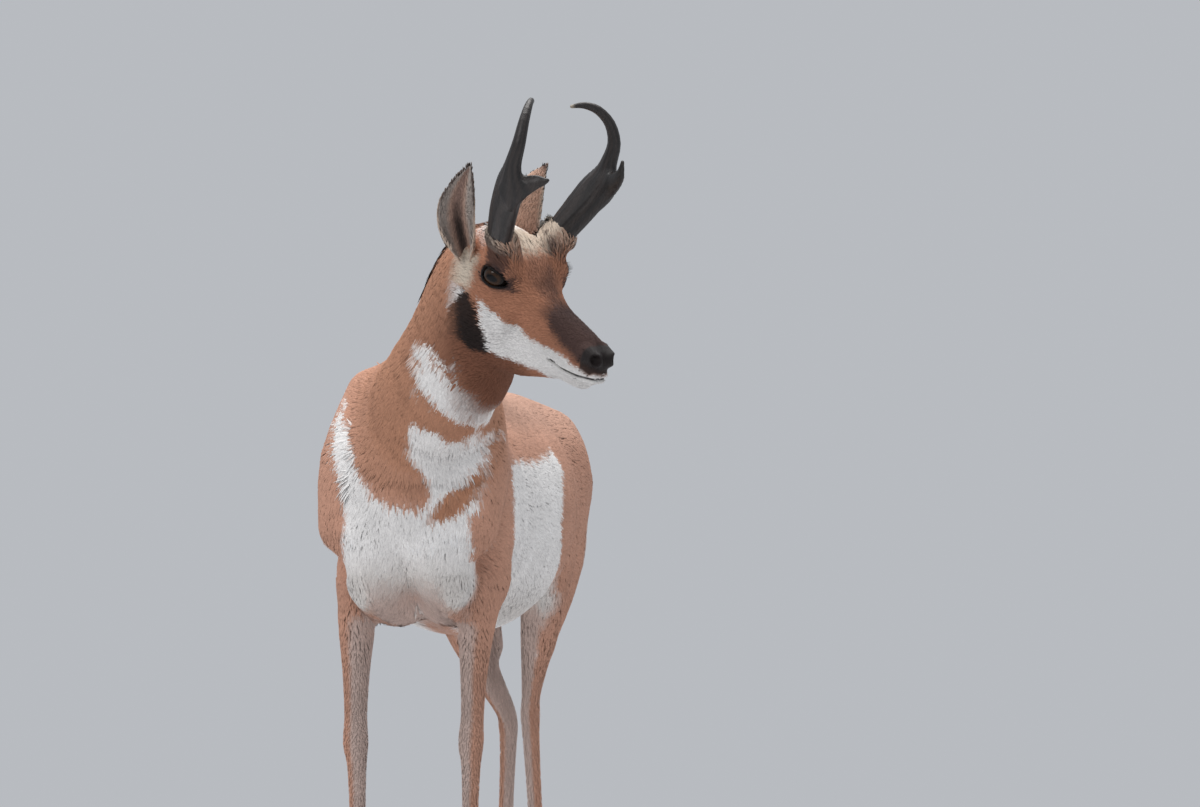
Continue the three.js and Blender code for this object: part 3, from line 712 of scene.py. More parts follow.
def bodyMarkings(points, normals):
    x, y, z = raggedly(points, 4.0, 14).T
    outward = normals[:, 0] * np.sign(x)
    distance, share, turn = measure(neckForm, points)
    turn = np.degrees(turn) * degree
    neck = step(share, 0.16, 0.36) * step(-distance, -40, -10)
    flank = within("flank", y, z, 6) * step(np.abs(x), 20, 50)
    under = step(-normals[:, 2], 0.35, 0.75) * step(y, -40, 20) * step(-y, -600, -520)
    under = under * step(z, 470, 500) * step(-z, -640, -600)
    front = step(-y, 22, 62) * step(z, 470, 500)
    throat = step(share, 0.50, 0.64) * step(-np.abs(turn + 20), -170, -50)
    band = outlineDistance(np.column_stack([turn, z]), [(a * degree, b) for a, b in marks["crescent"]])
    nape = step(np.abs(turn), 150 * degree, 168 * degree) * step(share, 0.5, 0.8)
    rump = step(y + 0.12 * (z - 700), 676, 700) * step(z, 540, 580) * step(-z, -812, -796)
    tail = step(y, 744, 760) * step(-np.abs(x), -20, -8) * step(z, 620, 640)
    leg = step(-z, -560, -500)
    pale = step(-(outward + 0.25 * normals[:, 1]), -0.25, 0.35)
    inner = step(-outward, 0.2, 0.6) * step(y, 420, 520) * step(-z, -700, -640)
    return layered(
        np.tile(shades["tan"], (len(points), 1)),
        # painted light: paler tan over the top of the withers, where the light from above falls
        ("litWithersTan", step(z, 735, 810) * step(y, 0, 160)),
        ("neckBrown", neck * 0.85),
        ("white", np.maximum(flank, under)),
        # painted shade: grey over the white of the underside, on the skin that faces down
        ("underShadeGrey", under * 0.45),
        ("white", within("chest", x, z, 5) * front),
        ("neckBrown", within("chestPatch", x, z, 5) * front),
        # painted shade: grey low on the chest between the fore legs
        ("underShadeGrey", 0.55 * step(-z, -600, -530) * front * step(-np.abs(x), -110, -80)),
        ("throatBrown", throat * 0.72),
        ("white", step(-band, -4, 4) * step(share, 0.38, 0.46)),
        ("throatBrown", nape * 0.8),
        ("white", rump * step(-np.abs(x), -112, -92)),
        ("tan", tail * 0.55),
        ("legPale", leg * pale),
        # painted shade: grey on the inner sides of the haunches, between the hind legs
        ("underShadeGrey", inner * (1 - leg) * 0.8),
        ("hoofEdge", step(-z, -50, -36) * 0.6),
    )


def headMarkings(local):
    x, y, z = foldedOver(raggedly(local, 2.2, 7)).T
    earRoot = step(y, 26, 44) * step(-y, -100, -80) * step(-np.abs(z + 26), -36, -20) * step(x, 30, 44)
    bridge = step(-x, -34, -12) * step(-y, -14, 60) * step(z, -6, 8)
    return layered(
        np.tile(shades["faceTan"], (len(local), 1)),
        ("throatBrown", step(-z, 80, 108) * step(y, -120, -60) * 0.8),
        ("cream", step(z, 25, 38) * step(y, -22, 2) * 0.9),
        ("white", step(z, 10, 34) * step(y, 26, 50) * step(-y, -96, -76) * 0.8),
        ("cream", earRoot),
        ("white", within("cheekWhite", y, z, 4)),
        ("black", within("cheekBlack", y, z, 4) * step(x, 16, 26) * 0.96),
        ("white", within("earPatch", y, z, 4) * step(x, 22, 34) * 0.9),
        ("noseBrown", within("eyeDark", y, z, 4) * step(x, 30, 38) * 0.95),
        ("noseBrown", within("browDark", y, z, 4) * step(x, 26, 36) * 0.8),
        ("noseBrown", bridge * (0.66 + 0.28 * wave(local, 12, 0.9))),
        ("noseBrown", within("noseDark", y, z, 9) * step(-y, 62, 104) * 0.95),
        ("black", within("nosePad", y, z, 2.5) * 0.9),
        ("black", step(-lineDistance(local[:, 1:], mouth["line"]), -2.2, -0.9)),
    )


def markings(points, normals):
    colour = bodyMarkings(points, normals)
    share = headShare(points)
    near = share > 0
    local = toHead(points[near])
    colour[near] = mixed(colour[near], headMarkings(local), share[near][:, None])
    return colour * (1 + 0.07 * wave(points, 46, 0.7) + 0.05 * wave(points, 15, 1.9))[:, None]


# Lie of the coat, along the skin
def lieOf(points, normals):
    lie = np.tile([0.0, 1.0, -0.30], (len(points), 1))

    def blend(way, share):
        lie[:] = mixed(lie, unit(np.array(way, float)), share[:, None])

    x, y, z = points.T
    blend((0, 0.35, -1), step(-y, 20, 90) * step(-z, -760, -640))
    blend((0, 0.25, -1), step(y, 640, 720))
    distance, share, _ = measure(neckForm, points)
    neck = step(share, 0.2, 0.45) * step(-distance, -40, -10)
    blend((-0.376, 0.62, -0.69), neck)
    blend((0, 0.2, -1), step(-z, -600, -480))
    blend(headTurn @ np.array([0, 1, -0.3]), headShare(points))
    sway = 0.22 * wave(points, 90, 0.4) + 0.12 * wave(points, 30, 1.3)
    lie += np.cross(normals, lie) * sway[:, None]
    lie -= normals * (lie * normals).sum(1)[:, None]
    return unit(lie)


def faceArray(mesh):
    mesh.calc_loop_triangles()
    out = np.zeros(len(mesh.loop_triangles) * 3, np.int32)
    mesh.loop_triangles.foreach_get("vertices", out)
    return out.reshape(-1, 3)


def setAttribute(mesh, name, kind, key, values):
    layer = mesh.attributes.new(name, kind, "POINT")
    layer.data.foreach_set(key, np.asarray(values, np.float32).ravel())


def setLie(mesh, lies):
    setAttribute(mesh, "lie", "FLOAT_VECTOR", "vector", lies)


def setTint(mesh, colours):
    layer = mesh.color_attributes.new(name="tint", type="FLOAT_COLOR", domain="POINT")
    rgba = np.hstack([np.clip(colours, 0, 1), np.ones((len(colours), 1))])
    layer.data.foreach_set("color", rgba.astype(np.float32).ravel())


skinPoints = fromFrame(vertexArray(skinMesh))
skinNormals = vertexArray(skinMesh, "normal")
skinTint = markings(skinPoints, skinNormals)
skinLie = lieOf(skinPoints, skinNormals)
skinLocal = toHead(skinPoints)
skinWet = within("nosePad", skinLocal[:, 1], skinLocal[:, 2], 2.0) * (headShare(skinPoints) > 0.5)


def earTint(share, inner, edge):
    return layered(
        np.tile(mixed(shades["tan"], shades["cream"], 0.25), (len(share), 1)),
        ("cream", step(edge, 0.72, 0.95) * (1 - inner) * 0.7),
        ("noseBrown", step(share, 0.86, 0.97) * 0.8),
        ("earGrey", inner * step(edge, 0.2, 0.6)),
        ("earPink", inner * step(-edge, -0.5, -0.1) * 0.8),
        # painted shade: black deep in the hollow of the cup
        ("black", inner * step(-edge, -0.34, -0.05) * step(-share, -0.72, -0.3) * 0.9),
        ("noseBrown", step(edge, 0.9, 0.99) * step(share, 0.4, 0.7) * 0.8),
    )


first = fleshCount
for shell in earShells.values():
    last = first + len(shell["points"])
    skinTint[first:last] = earTint(shell["share"], shell["inner"], shell["edge"])
    skinLie[first:last] = shell["along"]
    shell["normals"] = skinNormals[first:last]
    first = last
skinTint[first:] = shades["lid"]
skinWet[first:] = 0.8
setTint(skinMesh, skinTint)
setLie(skinMesh, skinLie)
setAttribute(skinMesh, "wet", "FLOAT", "value", skinWet)
skin = linked("skin", smoothed(skinMesh))

# Coat: closed three-sided tufts, each a patch of its own on the unwrap of its piece
tuft = {
    "sunk": 1.8, "thick": 0.15, "sway": 0.09, "bend": 0.12, "lengths": (0.8, 1.2), "lifts": (0.86, 1.06),
    "ownNormal": 0.3, "patch": 0.003, "rootPaintedShade": 0.90, "tipPaintedLight": 1.06, "shades": (0.93, 1.07), "most": 9,
}
tuftFaces = np.array([
    (0, 2, 1), (0, 1, 4), (0, 4, 3), (1, 2, 5), (1, 5, 4), (2, 0, 3), (2, 3, 5), (3, 4, 6), (4, 5, 6),
    (5, 3, 6),
])
tuftPatch = np.array([(-1, -1), (1, -1), (0, -0.7), (-0.8, 0.1), (0.8, 0.1), (0, 0.2), (0, 1)]) / 2


def triangleMesh(name, points, triangles):
    mesh = bpy.data.meshes.new(name)
    mesh.vertices.add(len(points))
    mesh.vertices.foreach_set("co", points.astype(np.float32).ravel())
    mesh.loops.add(triangles.size)
    mesh.loops.foreach_set("vertex_index", triangles.astype(np.int32).ravel())
    mesh.polygons.add(len(triangles))
    mesh.polygons.foreach_set("loop_start", np.arange(0, triangles.size, 3, dtype=np.int32))
    mesh.update(calc_edges=True)
    return mesh


def faceAreas(corners):
    return np.linalg.norm(np.cross(corners[:, 1] - corners[:, 0], corners[:, 2] - corners[:, 0]), axis=1)


def spread(triangles, count):
    corners = skinPoints[triangles]
    total = np.cumsum(faceAreas(corners))
    picks = np.searchsorted(total, (np.arange(count) + random.random(count)) / count * total[-1])
    a, b = random.random((2, count))
    a, b = np.where(a + b > 1, 1 - a, a), np.where(a + b > 1, 1 - b, b)
    shares = np.column_stack([1 - a - b, a, b])[:, :, None]
    return (corners[picks] * shares).sum(1), unit((skinNormals[triangles[picks]] * shares).sum(1))


def flattened(lies, normals):
    return unit(lies - normals * (lies * normals).sum(1)[:, None])


def heightOver(points):
    return surface(points) + coatDepth(points)


def coatPiece(name, roots, normals, lies, lengths, widths, lifts, colours, chart, hug=True):
    count = len(roots)
    lies = unit(lies + tuft["sway"] * random.standard_normal((count, 3)))
    lies = flattened(lies, normals)
    across = np.cross(lies, normals)
    lengths = lengths * random.uniform(*tuft["lengths"], count)
    lifts = lifts * random.uniform(*tuft["lifts"], count)
    bends = lengths * random.uniform(-tuft["bend"], tuft["bend"], count)
    middle = roots + lies * (lengths * 0.5)[:, None]
    tip = roots + lies * lengths[:, None] + across * bends[:, None]
    for ends, share in ((middle, 0.88), (tip, 1.0)):
        rise = lifts * share - (heightOver(ends) if hug else 0)
        ends += normals * np.clip(rise, -tuft["most"], tuft["most"])[:, None]
    base = roots - normals * tuft["sunk"]
    half, thick = widths[:, None] / 2, (widths * tuft["thick"])[:, None]
    points = np.stack([
        base + across * half * 0.7, base - across * half * 0.7, base + normals * thick,
        middle + across * half, middle - across * half, middle + normals * thick, tip,
    ], axis=1)
    triangles = (np.arange(count)[:, None, None] * 7 + tuftFaces).reshape(-1, 3)
    mesh = smoothed(triangleMesh(name, toFrame(points.reshape(-1, 3)), triangles))
    # Each tuft is painted darker at its root, as painted shade among the tufts, and lighter at its tip, as
    # painted light
    paintedRootShadeTipLight = np.array([tuft["rootPaintedShade"]] * 3 + [1.0] * 3 + [tuft["tipPaintedLight"]])
    tint = colours[:, None, :] * paintedRootShadeTipLight[None, :, None] * random.uniform(*tuft["shades"], count)[:, None, None]
    setTint(mesh, tint.reshape(-1, 3))
    setLie(mesh, np.repeat(lies, 7, 0))
    low, high = chart.min(0), chart.max(0)
    place = (chart - low) / (high - low) * (1 - 2 * tuft["patch"]) + tuft["patch"]
    patches = place[:, None, :] + tuftPatch[None] * tuft["patch"]
    corner = patches.reshape(-1, 2)[triangles.ravel()]
    mesh.uv_layers.new(name="OFBake").data.foreach_set("uv", corner.astype(np.float32).ravel())
    soft = unit(mixed(np.repeat(normals, 7, 0), vertexArray(mesh, "normal"), tuft["ownNormal"]))
    mesh.normals_split_custom_set_from_vertices(soft.tolist())  # light falls as on the coat as a whole
    print(name, count, "tufts")
    return linked(name, mesh)


skinFaces = faceArray(skinMesh)
skinFaces = skinFaces[(skinFaces < fleshCount).all(1)]
faceMiddle = skinPoints[skinFaces].mean(1)
middleX, middleY, middleZ = faceMiddle.T
faceLocal = toHead(faceMiddle)
faceFolded = foldedOver(faceLocal)
faceHead = headShare(faceMiddle)
neckDistance, neckShare, neckTurn = measure(neckForm, faceMiddle)
neckTurn = np.abs(np.degrees(neckTurn))
onNeck = (neckShare > 0.24) & (neckDistance < 12) & (middleZ > 690) & (faceHead <= 0.5)
onTail = (middleY > 744) & (middleZ > 600) & (np.abs(middleX) < 34)
underBelly = (np.abs(middleX) < 56) & (middleZ > 440) & (middleY < 520)
onLeg = (middleZ < 545) & ~underBelly
onTorso = ~onNeck & ~onTail & ~onLeg & (faceHead <= 0.5)
onFlank = onTorso & (middleY >= 130) & (middleY < 480)
bare = within("nosePad", faceLocal[:, 1], faceLocal[:, 2], 1.0) > 0.4
bare |= lineDistance(faceLocal[:, 1:], mouth["line"]) < 4
for pit, rim in ((eyeOpening, 3.4), (nostrilPit, 2)):
    bare |= ballDistance(faceFolded, pit["place"], np.array(pit["radii"]) + rim) < 0

# Hair grows only where the skin looks the way its form grows, so none comes up out of a pinched fold
fleshPoints, fleshNormals = skinPoints[:fleshCount], skinNormals[:fleshCount]
rises = heightOver(fleshPoints + 3 * fleshNormals) - heightOver(fleshPoints)
sound = (rises > 1.2)[skinFaces].all(1)


def aroundTrunk(p):
    return np.column_stack([np.arctan2(p[:, 0], p[:, 2] - 650), p[:, 1] / 160])


def aroundFront(p):  # the chest looks forwards, so its chart opens out from the middle of the trunk
    out = p - [0, 90, 650]
    return np.column_stack([np.arctan2(out[:, 0], -out[:, 1]) * 1.2, out[:, 2] / 150])


def aroundRear(p):
    out = p - [0, 560, 660]
    return np.column_stack([np.arctan2(out[:, 0], out[:, 1]) * 1.2, out[:, 2] / 130])


def aroundNeck(p):
    _, share, turn = measure(neckForm, p)
    return np.column_stack([turn, share * 5])


def aroundHead(p):
    local = toHead(p)
    return np.column_stack([np.arctan2(local[:, 0], local[:, 2] + 45), local[:, 1] / 60])


def aroundLegs(p):
    left = p[:, 0] > 0
    middle = np.where(left, np.median(p[left, 0]), np.median(p[~left, 0]))
    centre = np.where(p[:, 1] > 300, np.where(left, 634, 745), 8)
    turn = np.arctan2(p[:, 0] - middle, p[:, 1] - centre)
    return np.column_stack([turn + np.where(left, 8, 0), p[:, 2] / 60])


# [faces, tufts, length, width, chart]
coat = {
    "coatHead": ((faceHead > 0.5) & ~bare, 17500, 9.0, 1.9, aroundHead),
    "coatNeck": (onNeck, 17500, 30, 4.0, aroundNeck),
    "coatFront": (onTorso & (middleY < 130), 19800, 31, 4.4, aroundFront),
    "coatFlankLeft": (onFlank & (middleX >= 0), 13500, 32, 4.6, aroundTrunk),
    "coatFlankRight": (onFlank & (middleX < 0), 13500, 32, 4.6, aroundTrunk),
    "coatHaunch": (onTorso & (middleY >= 480), 19800, 31, 4.6, aroundRear),
    "coatForelegs": (onLeg & (middleY < 300), 15000, 24, 4.4, aroundLegs),
    "coatHindlegs": (onLeg & (middleY >= 300), 15500, 24, 4.4, aroundLegs),
    "coatTail": (onTail, 3600, 30, 3.4, aroundRear),
}
hornRoot = {"place": (50, 15, 40), "radii": (22, 32, 26), "length": 12, "lift": 4, "lie": (0, 0.6, 1)}
headFur = {
    "lengths": [(-215, 5.0), (-120, 6.5), (-40, 8.0), (10, 10.0), (60, 15.0), (110, 22.0)],  # [y, length]
    "width": 1.0, "widening": 0.13, "lift": 1.1,
}
lowerLegFur = {"length": 11, "width": 2.5}
tailFur = {"lift": 3, "lie": (0, 0.05, -1.0)}
frontLift = 0.66
coatPieces = []
for name, (chosen, count, length, width, chart) in coat.items():
    roots, normals = spread(skinFaces[chosen & sound], count)
    lengths, widths, lifts = np.full(count, float(length)), np.full(count, width), coatDepth(roots)
    colours = markings(roots + random.normal(0, 1.6, roots.shape), normals)
    lies = lieOf(roots, normals)
    if name == "coatHead":
        local = foldedOver(toHead(roots))
        lengths = np.interp(local[:, 1], *zip(*headFur["lengths"]))
        widths = headFur["width"] + headFur["widening"] * lengths
        base = step(-ballDistance(local, hornRoot["place"], hornRoot["radii"]), -9, -1)
        base *= step(local[:, 2], 14, 26)
        crown = np.maximum(step(local[:, 2], 14, 40) * step(local[:, 1], -6, 24), base)
        lengths += hornRoot["length"] * crown
        lifts = np.maximum(lifts, headFur["lift"]) + hornRoot["lift"] * crown
        lies = unit(mixed(lies, headTurn @ unit(np.array(hornRoot["lie"], float)), 0.7 * crown[:, None]))
    elif name in ("coatForelegs", "coatHindlegs"):
        low = step(-roots[:, 2], -540, -380)
        lengths, widths = mixed(length, lowerLegFur["length"], low), mixed(width, lowerLegFur["width"], low)
    elif name == "coatTail":
        lies = unit(mixed(lies, np.array(tailFur["lie"]), 0.75))
        lifts = lifts + tailFur["lift"]
    elif name == "coatFront":
        lifts = lifts * frontLift
    coatPieces.append(coatPiece(name, roots, normals, lies, lengths, widths, lifts, colours, chart(roots)))

# Mane: dark locks along the nape that lie back and overlap
mane = {"locks": 900, "length": 52, "width": 7.0, "lift": 7, "lowest": 0.44, "spread": 156}
crest = (onNeck | (faceHead > 0.02)) & (neckTurn > mane["spread"])
crest &= (neckShare > mane["lowest"]) & (neckDistance < 14)
roots, normals = spread(skinFaces[crest], mane["locks"])
_, share, turn = measure(neckForm, roots)
middling = step(np.abs(np.degrees(turn)), mane["spread"], 176) * step(share, mane["lowest"], 0.7)
colours = mixed(shades["neckBrown"], shades["throatBrown"] * 0.7, (0.3 + 0.65 * middling)[:, None])
lengths, widths = mane["length"] * (0.45 + 0.55 * middling), np.full(mane["locks"], mane["width"])
lifts = coatDepth(roots) + mane["lift"] * middling
coatPieces.append(coatPiece(
    "mane", roots, normals, lieOf(roots, normals), lengths, widths, lifts, colours, aroundNeck(roots),
))

# Short fur of the ears, thin deep inside the cup
earFur = {"count": 3200, "length": 8.5, "width": 1.7, "lift": 1.7}
parts = []
for name, shell in earShells.items():
    quads = np.array([face for face in shell["faces"] if len(face) == 4])
    triangles = quads[:, [0, 1, 2, 0, 2, 3]].reshape(-1, 3)
    values = np.column_stack([shell["share"], shell["inner"], shell["edge"]])
    share, inner, edge = values[triangles].mean(1).T
    keep = (1.0 - 0.75 * inner * step(-edge, -0.75, -0.5)) * (share > 0.10)
    corners = shell["points"][triangles]
    area = faceAreas(corners) * keep
    picks = np.searchsorted(np.cumsum(area), random.random(earFur["count"]) * area.sum())
    shares = random.dirichlet((1, 1, 1), earFur["count"])[:, :, None]
    picked = triangles[picks]
    roots, normals = (corners[picks] * shares).sum(1), unit((shell["normals"][picked] * shares).sum(1))
    share, inner, edge = (values[picked] * shares).sum(1).T
    lies = flattened(np.tile(shell["along"], (earFur["count"], 1)), normals)
    across = edge * np.where(inner > 0.5, -1, 1) * 0.45 + inner * 1.5 + (3 if name == "left" else 0)
    parts.append((roots, normals, lies, earTint(share, inner, edge), np.column_stack([across, share * 3])))
roots, normals, lies, colours, chart = (np.concatenate(column) for column in zip(*parts))
sizes = (np.full(len(roots), earFur[key]) for key in ("length", "width", "lift"))
coatPieces.append(coatPiece("coatEars", roots, normals, lies, *sizes, colours, chart, hug=False))

def newNodes(tree, *kinds):
    return [tree.nodes.new(kind) for kind in kinds]


# Each row of links is a node, its output, the next node and its input
def wire(tree, rows):
    for source, output, target, socket in rows:
        tree.links.new(source.outputs[output], target.inputs[socket])


def setInputs(node, values):
    for label, value in values.items():
        node.inputs[label].default_value = value


def addSockets(tree, inputs, outputs):
    sockets = {}
    for way, kinds in (("INPUT", inputs), ("OUTPUT", outputs)):
        for name, kind in kinds.items():
            sockets[name] = tree.interface.new_socket(name, in_out=way, socket_type="NodeSocket" + kind)
    return sockets


# Lashes along each upper lid
lash = {"length": 0.0085, "thick": 0.00045, "count": 26, "seed": 3, "lean": 0.22, "way": (0.85, -0.25, 0.18)}


def lashTree():
    tree = bpy.data.node_groups.new("lashes", "GeometryNodeTree")
    sockets = addSockets(tree, {
        "Lid": "Geometry", "Length": "Float", "Thickness": "Float", "Count": "Int", "Seed": "Int",
        "Outwards": "Vector", "Material": "Material",
    }, {"Lashes": "Geometry"})
    start, end, curve, resample, cone, place, align, vary, lean, realize, finish = newNodes(
        tree, "NodeGroupInput", "NodeGroupOutput", "GeometryNodeMeshToCurve", "GeometryNodeResampleCurve",
        "GeometryNodeMeshCone", "GeometryNodeInstanceOnPoints", "FunctionNodeAlignRotationToVector",
        "FunctionNodeRandomValue", "ShaderNodeVectorMath", "GeometryNodeRealizeInstances",
        "GeometryNodeSetMaterial",
    )
    lean.operation = "ADD"
    vary.data_type = "FLOAT_VECTOR"
    setInputs(cone, {"Vertices": 5, "Side Segments": 3})
    setInputs(vary, {"Min": (-lash["lean"],) * 3, "Max": (lash["lean"],) * 3})
    wire(tree, (
        (start, "Lid", curve, 0), (curve, 0, resample, "Curve"), (start, "Count", resample, "Count"),
        (start, "Thickness", cone, "Radius Bottom"), (start, "Length", cone, "Depth"),
        (start, "Seed", vary, "Seed"), (start, "Outwards", lean, 0), (vary, 0, lean, 1),
        (lean, 0, align, "Vector"), (resample, 0, place, "Points"), (cone, "Mesh", place, "Instance"),
        (align, 0, place, "Rotation"), (place, 0, realize, 0), (realize, 0, finish, "Geometry"),
        (start, "Material", finish, "Material"), (finish, 0, end, 0),
    ))
    return tree, {name: socket.identifier for name, socket in sockets.items()}


def newMaterial(name, roughness, specular=0.5):
    material = bpy.data.materials.new(name)
    material.use_nodes = True
    shader = material.node_tree.nodes["Principled BSDF"]
    setInputs(shader, {"Roughness": roughness, "Specular IOR Level": specular})
    return material, shader


# Strands: noise drawn out along a given lie, for streaks of colour and their relief
def strandGroup():
    group = bpy.data.node_groups.new("strands", "ShaderNodeTree")
    addSockets(
        group, {"Lie": "Vector", "Colour": "Color", "Scale": "Float", "Stretch": "Float", "Amount": "Float"},
        {"Streaked": "Color", "Height": "Float"},
    )
    start, end, place, dot, scale, less, noise, reach, shade, mix, low, high = newNodes(
        group, "NodeGroupInput", "NodeGroupOutput", "ShaderNodeTexCoord", *["ShaderNodeVectorMath"] * 3,
        "ShaderNodeTexNoise", "ShaderNodeMath", "ShaderNodeMapRange", "ShaderNodeVectorMath",
        *["ShaderNodeMath"] * 2,
    )
    for node, operation in (
        (dot, "DOT_PRODUCT"), (scale, "SCALE"), (less, "SUBTRACT"), (reach, "MULTIPLY"), (low, "SUBTRACT"),
        (high, "ADD"), (mix, "SCALE"),
    ):
        node.operation = operation
    low.inputs[0].default_value = high.inputs[0].default_value = 1.0
    setInputs(noise, {"Detail": 3})
    setInputs(shade, {"From Min": 0.3, "From Max": 0.7})
    wire(group, (
        (place, "Object", dot, 0), (start, "Lie", dot, 1), (dot, "Value", reach, 0),
        (start, "Stretch", reach, 1), (start, "Lie", scale, 0), (reach, 0, scale, "Scale"), (place, "Object", less, 0), (scale, 0, less, 1),
        (less, 0, noise, "Vector"), (start, "Scale", noise, "Scale"), (start, "Amount", low, 1),
        (start, "Amount", high, 1), (noise, 0, shade, "Value"), (low, 0, shade, "To Min"),
        (high, 0, shade, "To Max"), (start, "Colour", mix, 0), (shade, 0, mix, "Scale"),
        (mix, 0, end, "Streaked"), (noise, 0, end, "Height"),
    ))
    return group


strands = strandGroup()


def strandMaterial(
    name, roughness, scale, amount, bump, distance=0.001, stretch=0.88, specular=0.2, wet=None,
):
    material, shader = newMaterial(name, roughness, specular)
    tree = material.node_tree
    tint, lie, streaks, relief = newNodes(
        tree, "ShaderNodeAttribute", "ShaderNodeAttribute", "ShaderNodeGroup", "ShaderNodeBump",
    )
    tint.attribute_name, lie.attribute_name, streaks.node_tree = "tint", "lie", strands
    setInputs(streaks, {"Scale": scale, "Amount": amount, "Stretch": stretch})
    setInputs(relief, {"Strength": bump, "Distance": distance})
    wire(tree, (
        (tint, "Color", streaks, "Colour"), (lie, "Vector", streaks, "Lie"),
        (streaks, "Streaked", shader, "Base Color"), (streaks, "Height", relief, "Height"),
        (relief, "Normal", shader, "Normal"),
    ))
    if wet is not None:
        damp, gloss = newNodes(tree, "ShaderNodeAttribute", "ShaderNodeMapRange")
        damp.attribute_name = "wet"
        setInputs(gloss, {"To Min": roughness, "To Max": wet})
        wire(tree, ((damp, "Fac", gloss, "Value"), (gloss, 0, shader, "Roughness")))
    return material


skinMesh.materials.append(strandMaterial("shortFur", 0.85, 900, 0.32, 0.6, 0.0012, wet=0.38))
tuftMaterial = strandMaterial("tufts", 0.82, 1100, 0.14, 0.2, 0.0005)
for piece in coatPieces:
    piece.data.materials.append(tuftMaterial)

lashMaterial, lashShader = newMaterial("lashBlack", 0.45)
setInputs(lashShader, {"Base Color": (0.012, 0.01, 0.009, 1)})
tree, sockets = lashTree()
lashPieces = []
for name, side in sides.items():
    curve = lidCurve(side, lids["thick"] * 0.6)
    upper = curve[curve[:, 2] > 3]
    upper = upper[np.argsort(upper[:, 1])]
    carrier = meshObject("lashes_" + name, headToFrame(upper), [])
    steps = np.arange(len(upper) - 1)
    carrier.data.edges.add(len(steps))
    carrier.data.edges.foreach_set("vertices", np.column_stack([steps, steps + 1]).ravel())
    carrier.data.update()
    modifier = carrier.modifiers.new("Lashes", "NODES")
    modifier.node_group = tree
    outwards = headTurn @ unit(np.array(lash["way"]) * [side, 1, 1])
    for label, value in (
        ("Length", lash["length"]), ("Thickness", lash["thick"]), ("Count", lash["count"]),
        ("Seed", lash["seed"]), ("Outwards", tuple(map(float, outwards))), ("Material", lashMaterial),
    ):
        modifier[sockets[label]] = value
    lashPieces.append(linked("lashes_" + name, evaluatedCopy(carrier, "lashes_" + name)))
print("lashes:", [len(piece.data.polygons) for piece in lashPieces])

# Eyes: dark glossy balls with a wide level pupil
eyeFinish = {
    "segments": 64, "rings": 40, "pupil": (9.5, 5.2), "iris": 14.5, "look": (0.93, -0.36, 0.02),
    "ball": (0.010, 0.007, 0.006), "irisShade": (0.045, 0.021, 0.010), "pupilShade": (0.003, 0.003, 0.004),
}


def shadeMix(shade, *layers):
    colour = np.array([shade])
    for other, share in layers:
        colour = mixed(colour, np.array(other), share[:, None])
    return colour


eyes = []
for name, side in sides.items():
    mesh = bpy.data.meshes.new("eyeball_" + name)
    reworked(mesh, lambda bm: bmesh.ops.create_uvsphere(
        bm, u_segments=eyeFinish["segments"], v_segments=eyeFinish["rings"], radius=eyeBall["radius"],
    ))
    local = vertexArray(mesh)
    look = unit(np.array(eyeFinish["look"]) * [side, 1, 1])
    level = unit(np.cross((0, 0, 1), look))
    facing, aside, above = local @ look > 0, local @ level, local @ np.cross(look, level)
    wide, tall = eyeFinish["pupil"]
    pupil = step(-np.hypot(aside / wide, above / tall), -1.15, -0.85) * facing
    iris = step(-np.hypot(aside, above), -eyeFinish["iris"], -eyeFinish["iris"] + 2.5) * facing
    place = headToFrame(local + [side * eyeBall["side"], 0, 0])
    mesh.vertices.foreach_set("co", place.astype(np.float32).ravel())
    layers = (eyeFinish["irisShade"], iris), (eyeFinish["pupilShade"], pupil)
    setTint(mesh, shadeMix(eyeFinish["ball"], *layers))
    setLie(mesh, np.tile(headTurn @ look, (len(local), 1)))
    eyes.append((name, linked("eyeball_" + name, smoothed(mesh))))
eyeMaterial = strandMaterial("eye", 0.08, 420, 0.25, 0.0, specular=0.12)
setInputs(eyeMaterial.node_tree.nodes["Principled BSDF"], {"Coat Weight": 0.22, "Coat Roughness": 0.03})

# Horns: a flattened beam with a forward prong, rough at the base and polished at the tips
hornRows = [
    [46, 14, 20, 17, 26], [54, 16, 52, 16.5, 26], [68, 12, 92, 14.5, 26], [80, 6, 134, 12.5, 28],
    [88, 3, 162, 11, 24], [91, 7, 190, 10, 14], [91, 11, 222, 9, 10.5], [83, 25, 248, 7.5, 8.5],
    [68, 43, 262, 6, 7], [52, 58, 262, 4.5, 5], [39, 68, 254, 2.4, 2.6],
]
prongRows = [
    [86, 0, 140, 9, 22], [84, -20, 166, 7.5, 16], [79, -36, 184, 5.5, 10], [75, -44, 190, 4, 6],
    [73, -49, 195, 2.2, 2.6],
]
horn = {
    "spread": {"left": (1, 0.95), "right": (1.13, 1)}, "curl": {"left": (0, 16, 22), "right": (0, 0, 0)},
    "voxel": 0.0017, "blend": 9, "grain": 0.55, "knobs": 1.3,
    "sunk": 14, "rootShare": 0.42, "baseShare": 0.84,
    "dark": (0.012, 0.010, 0.010), "streak": (0.05, 0.038, 0.034), "knob": (0.11, 0.085, 0.07),
    "tip": (0.42, 0.36, 0.28),
}


def hornForms(name):
    wide, tall = horn["spread"][name]
    beam, spur = (
        [[sides[name] * x * wide, y, z * tall, *rest] for x, y, z, *rest in rows]
        for rows in (hornRows, prongRows)
    )
    for i, row in enumerate(spur):
        share = (i / (len(spur) - 1)) ** 2
        row[:3] = [value + reach * share for value, reach in zip(row, horn["curl"][name])]
    x, y, z, *rest = beam[0]
    beam[0] = [x * horn["baseShare"], y, z - horn["sunk"], *(v * horn["rootShare"] for v in rest)]
    beam[1][3:] = [v * horn["baseShare"] for v in beam[1][3:]]
    return makeForm(beam), makeForm(spur)


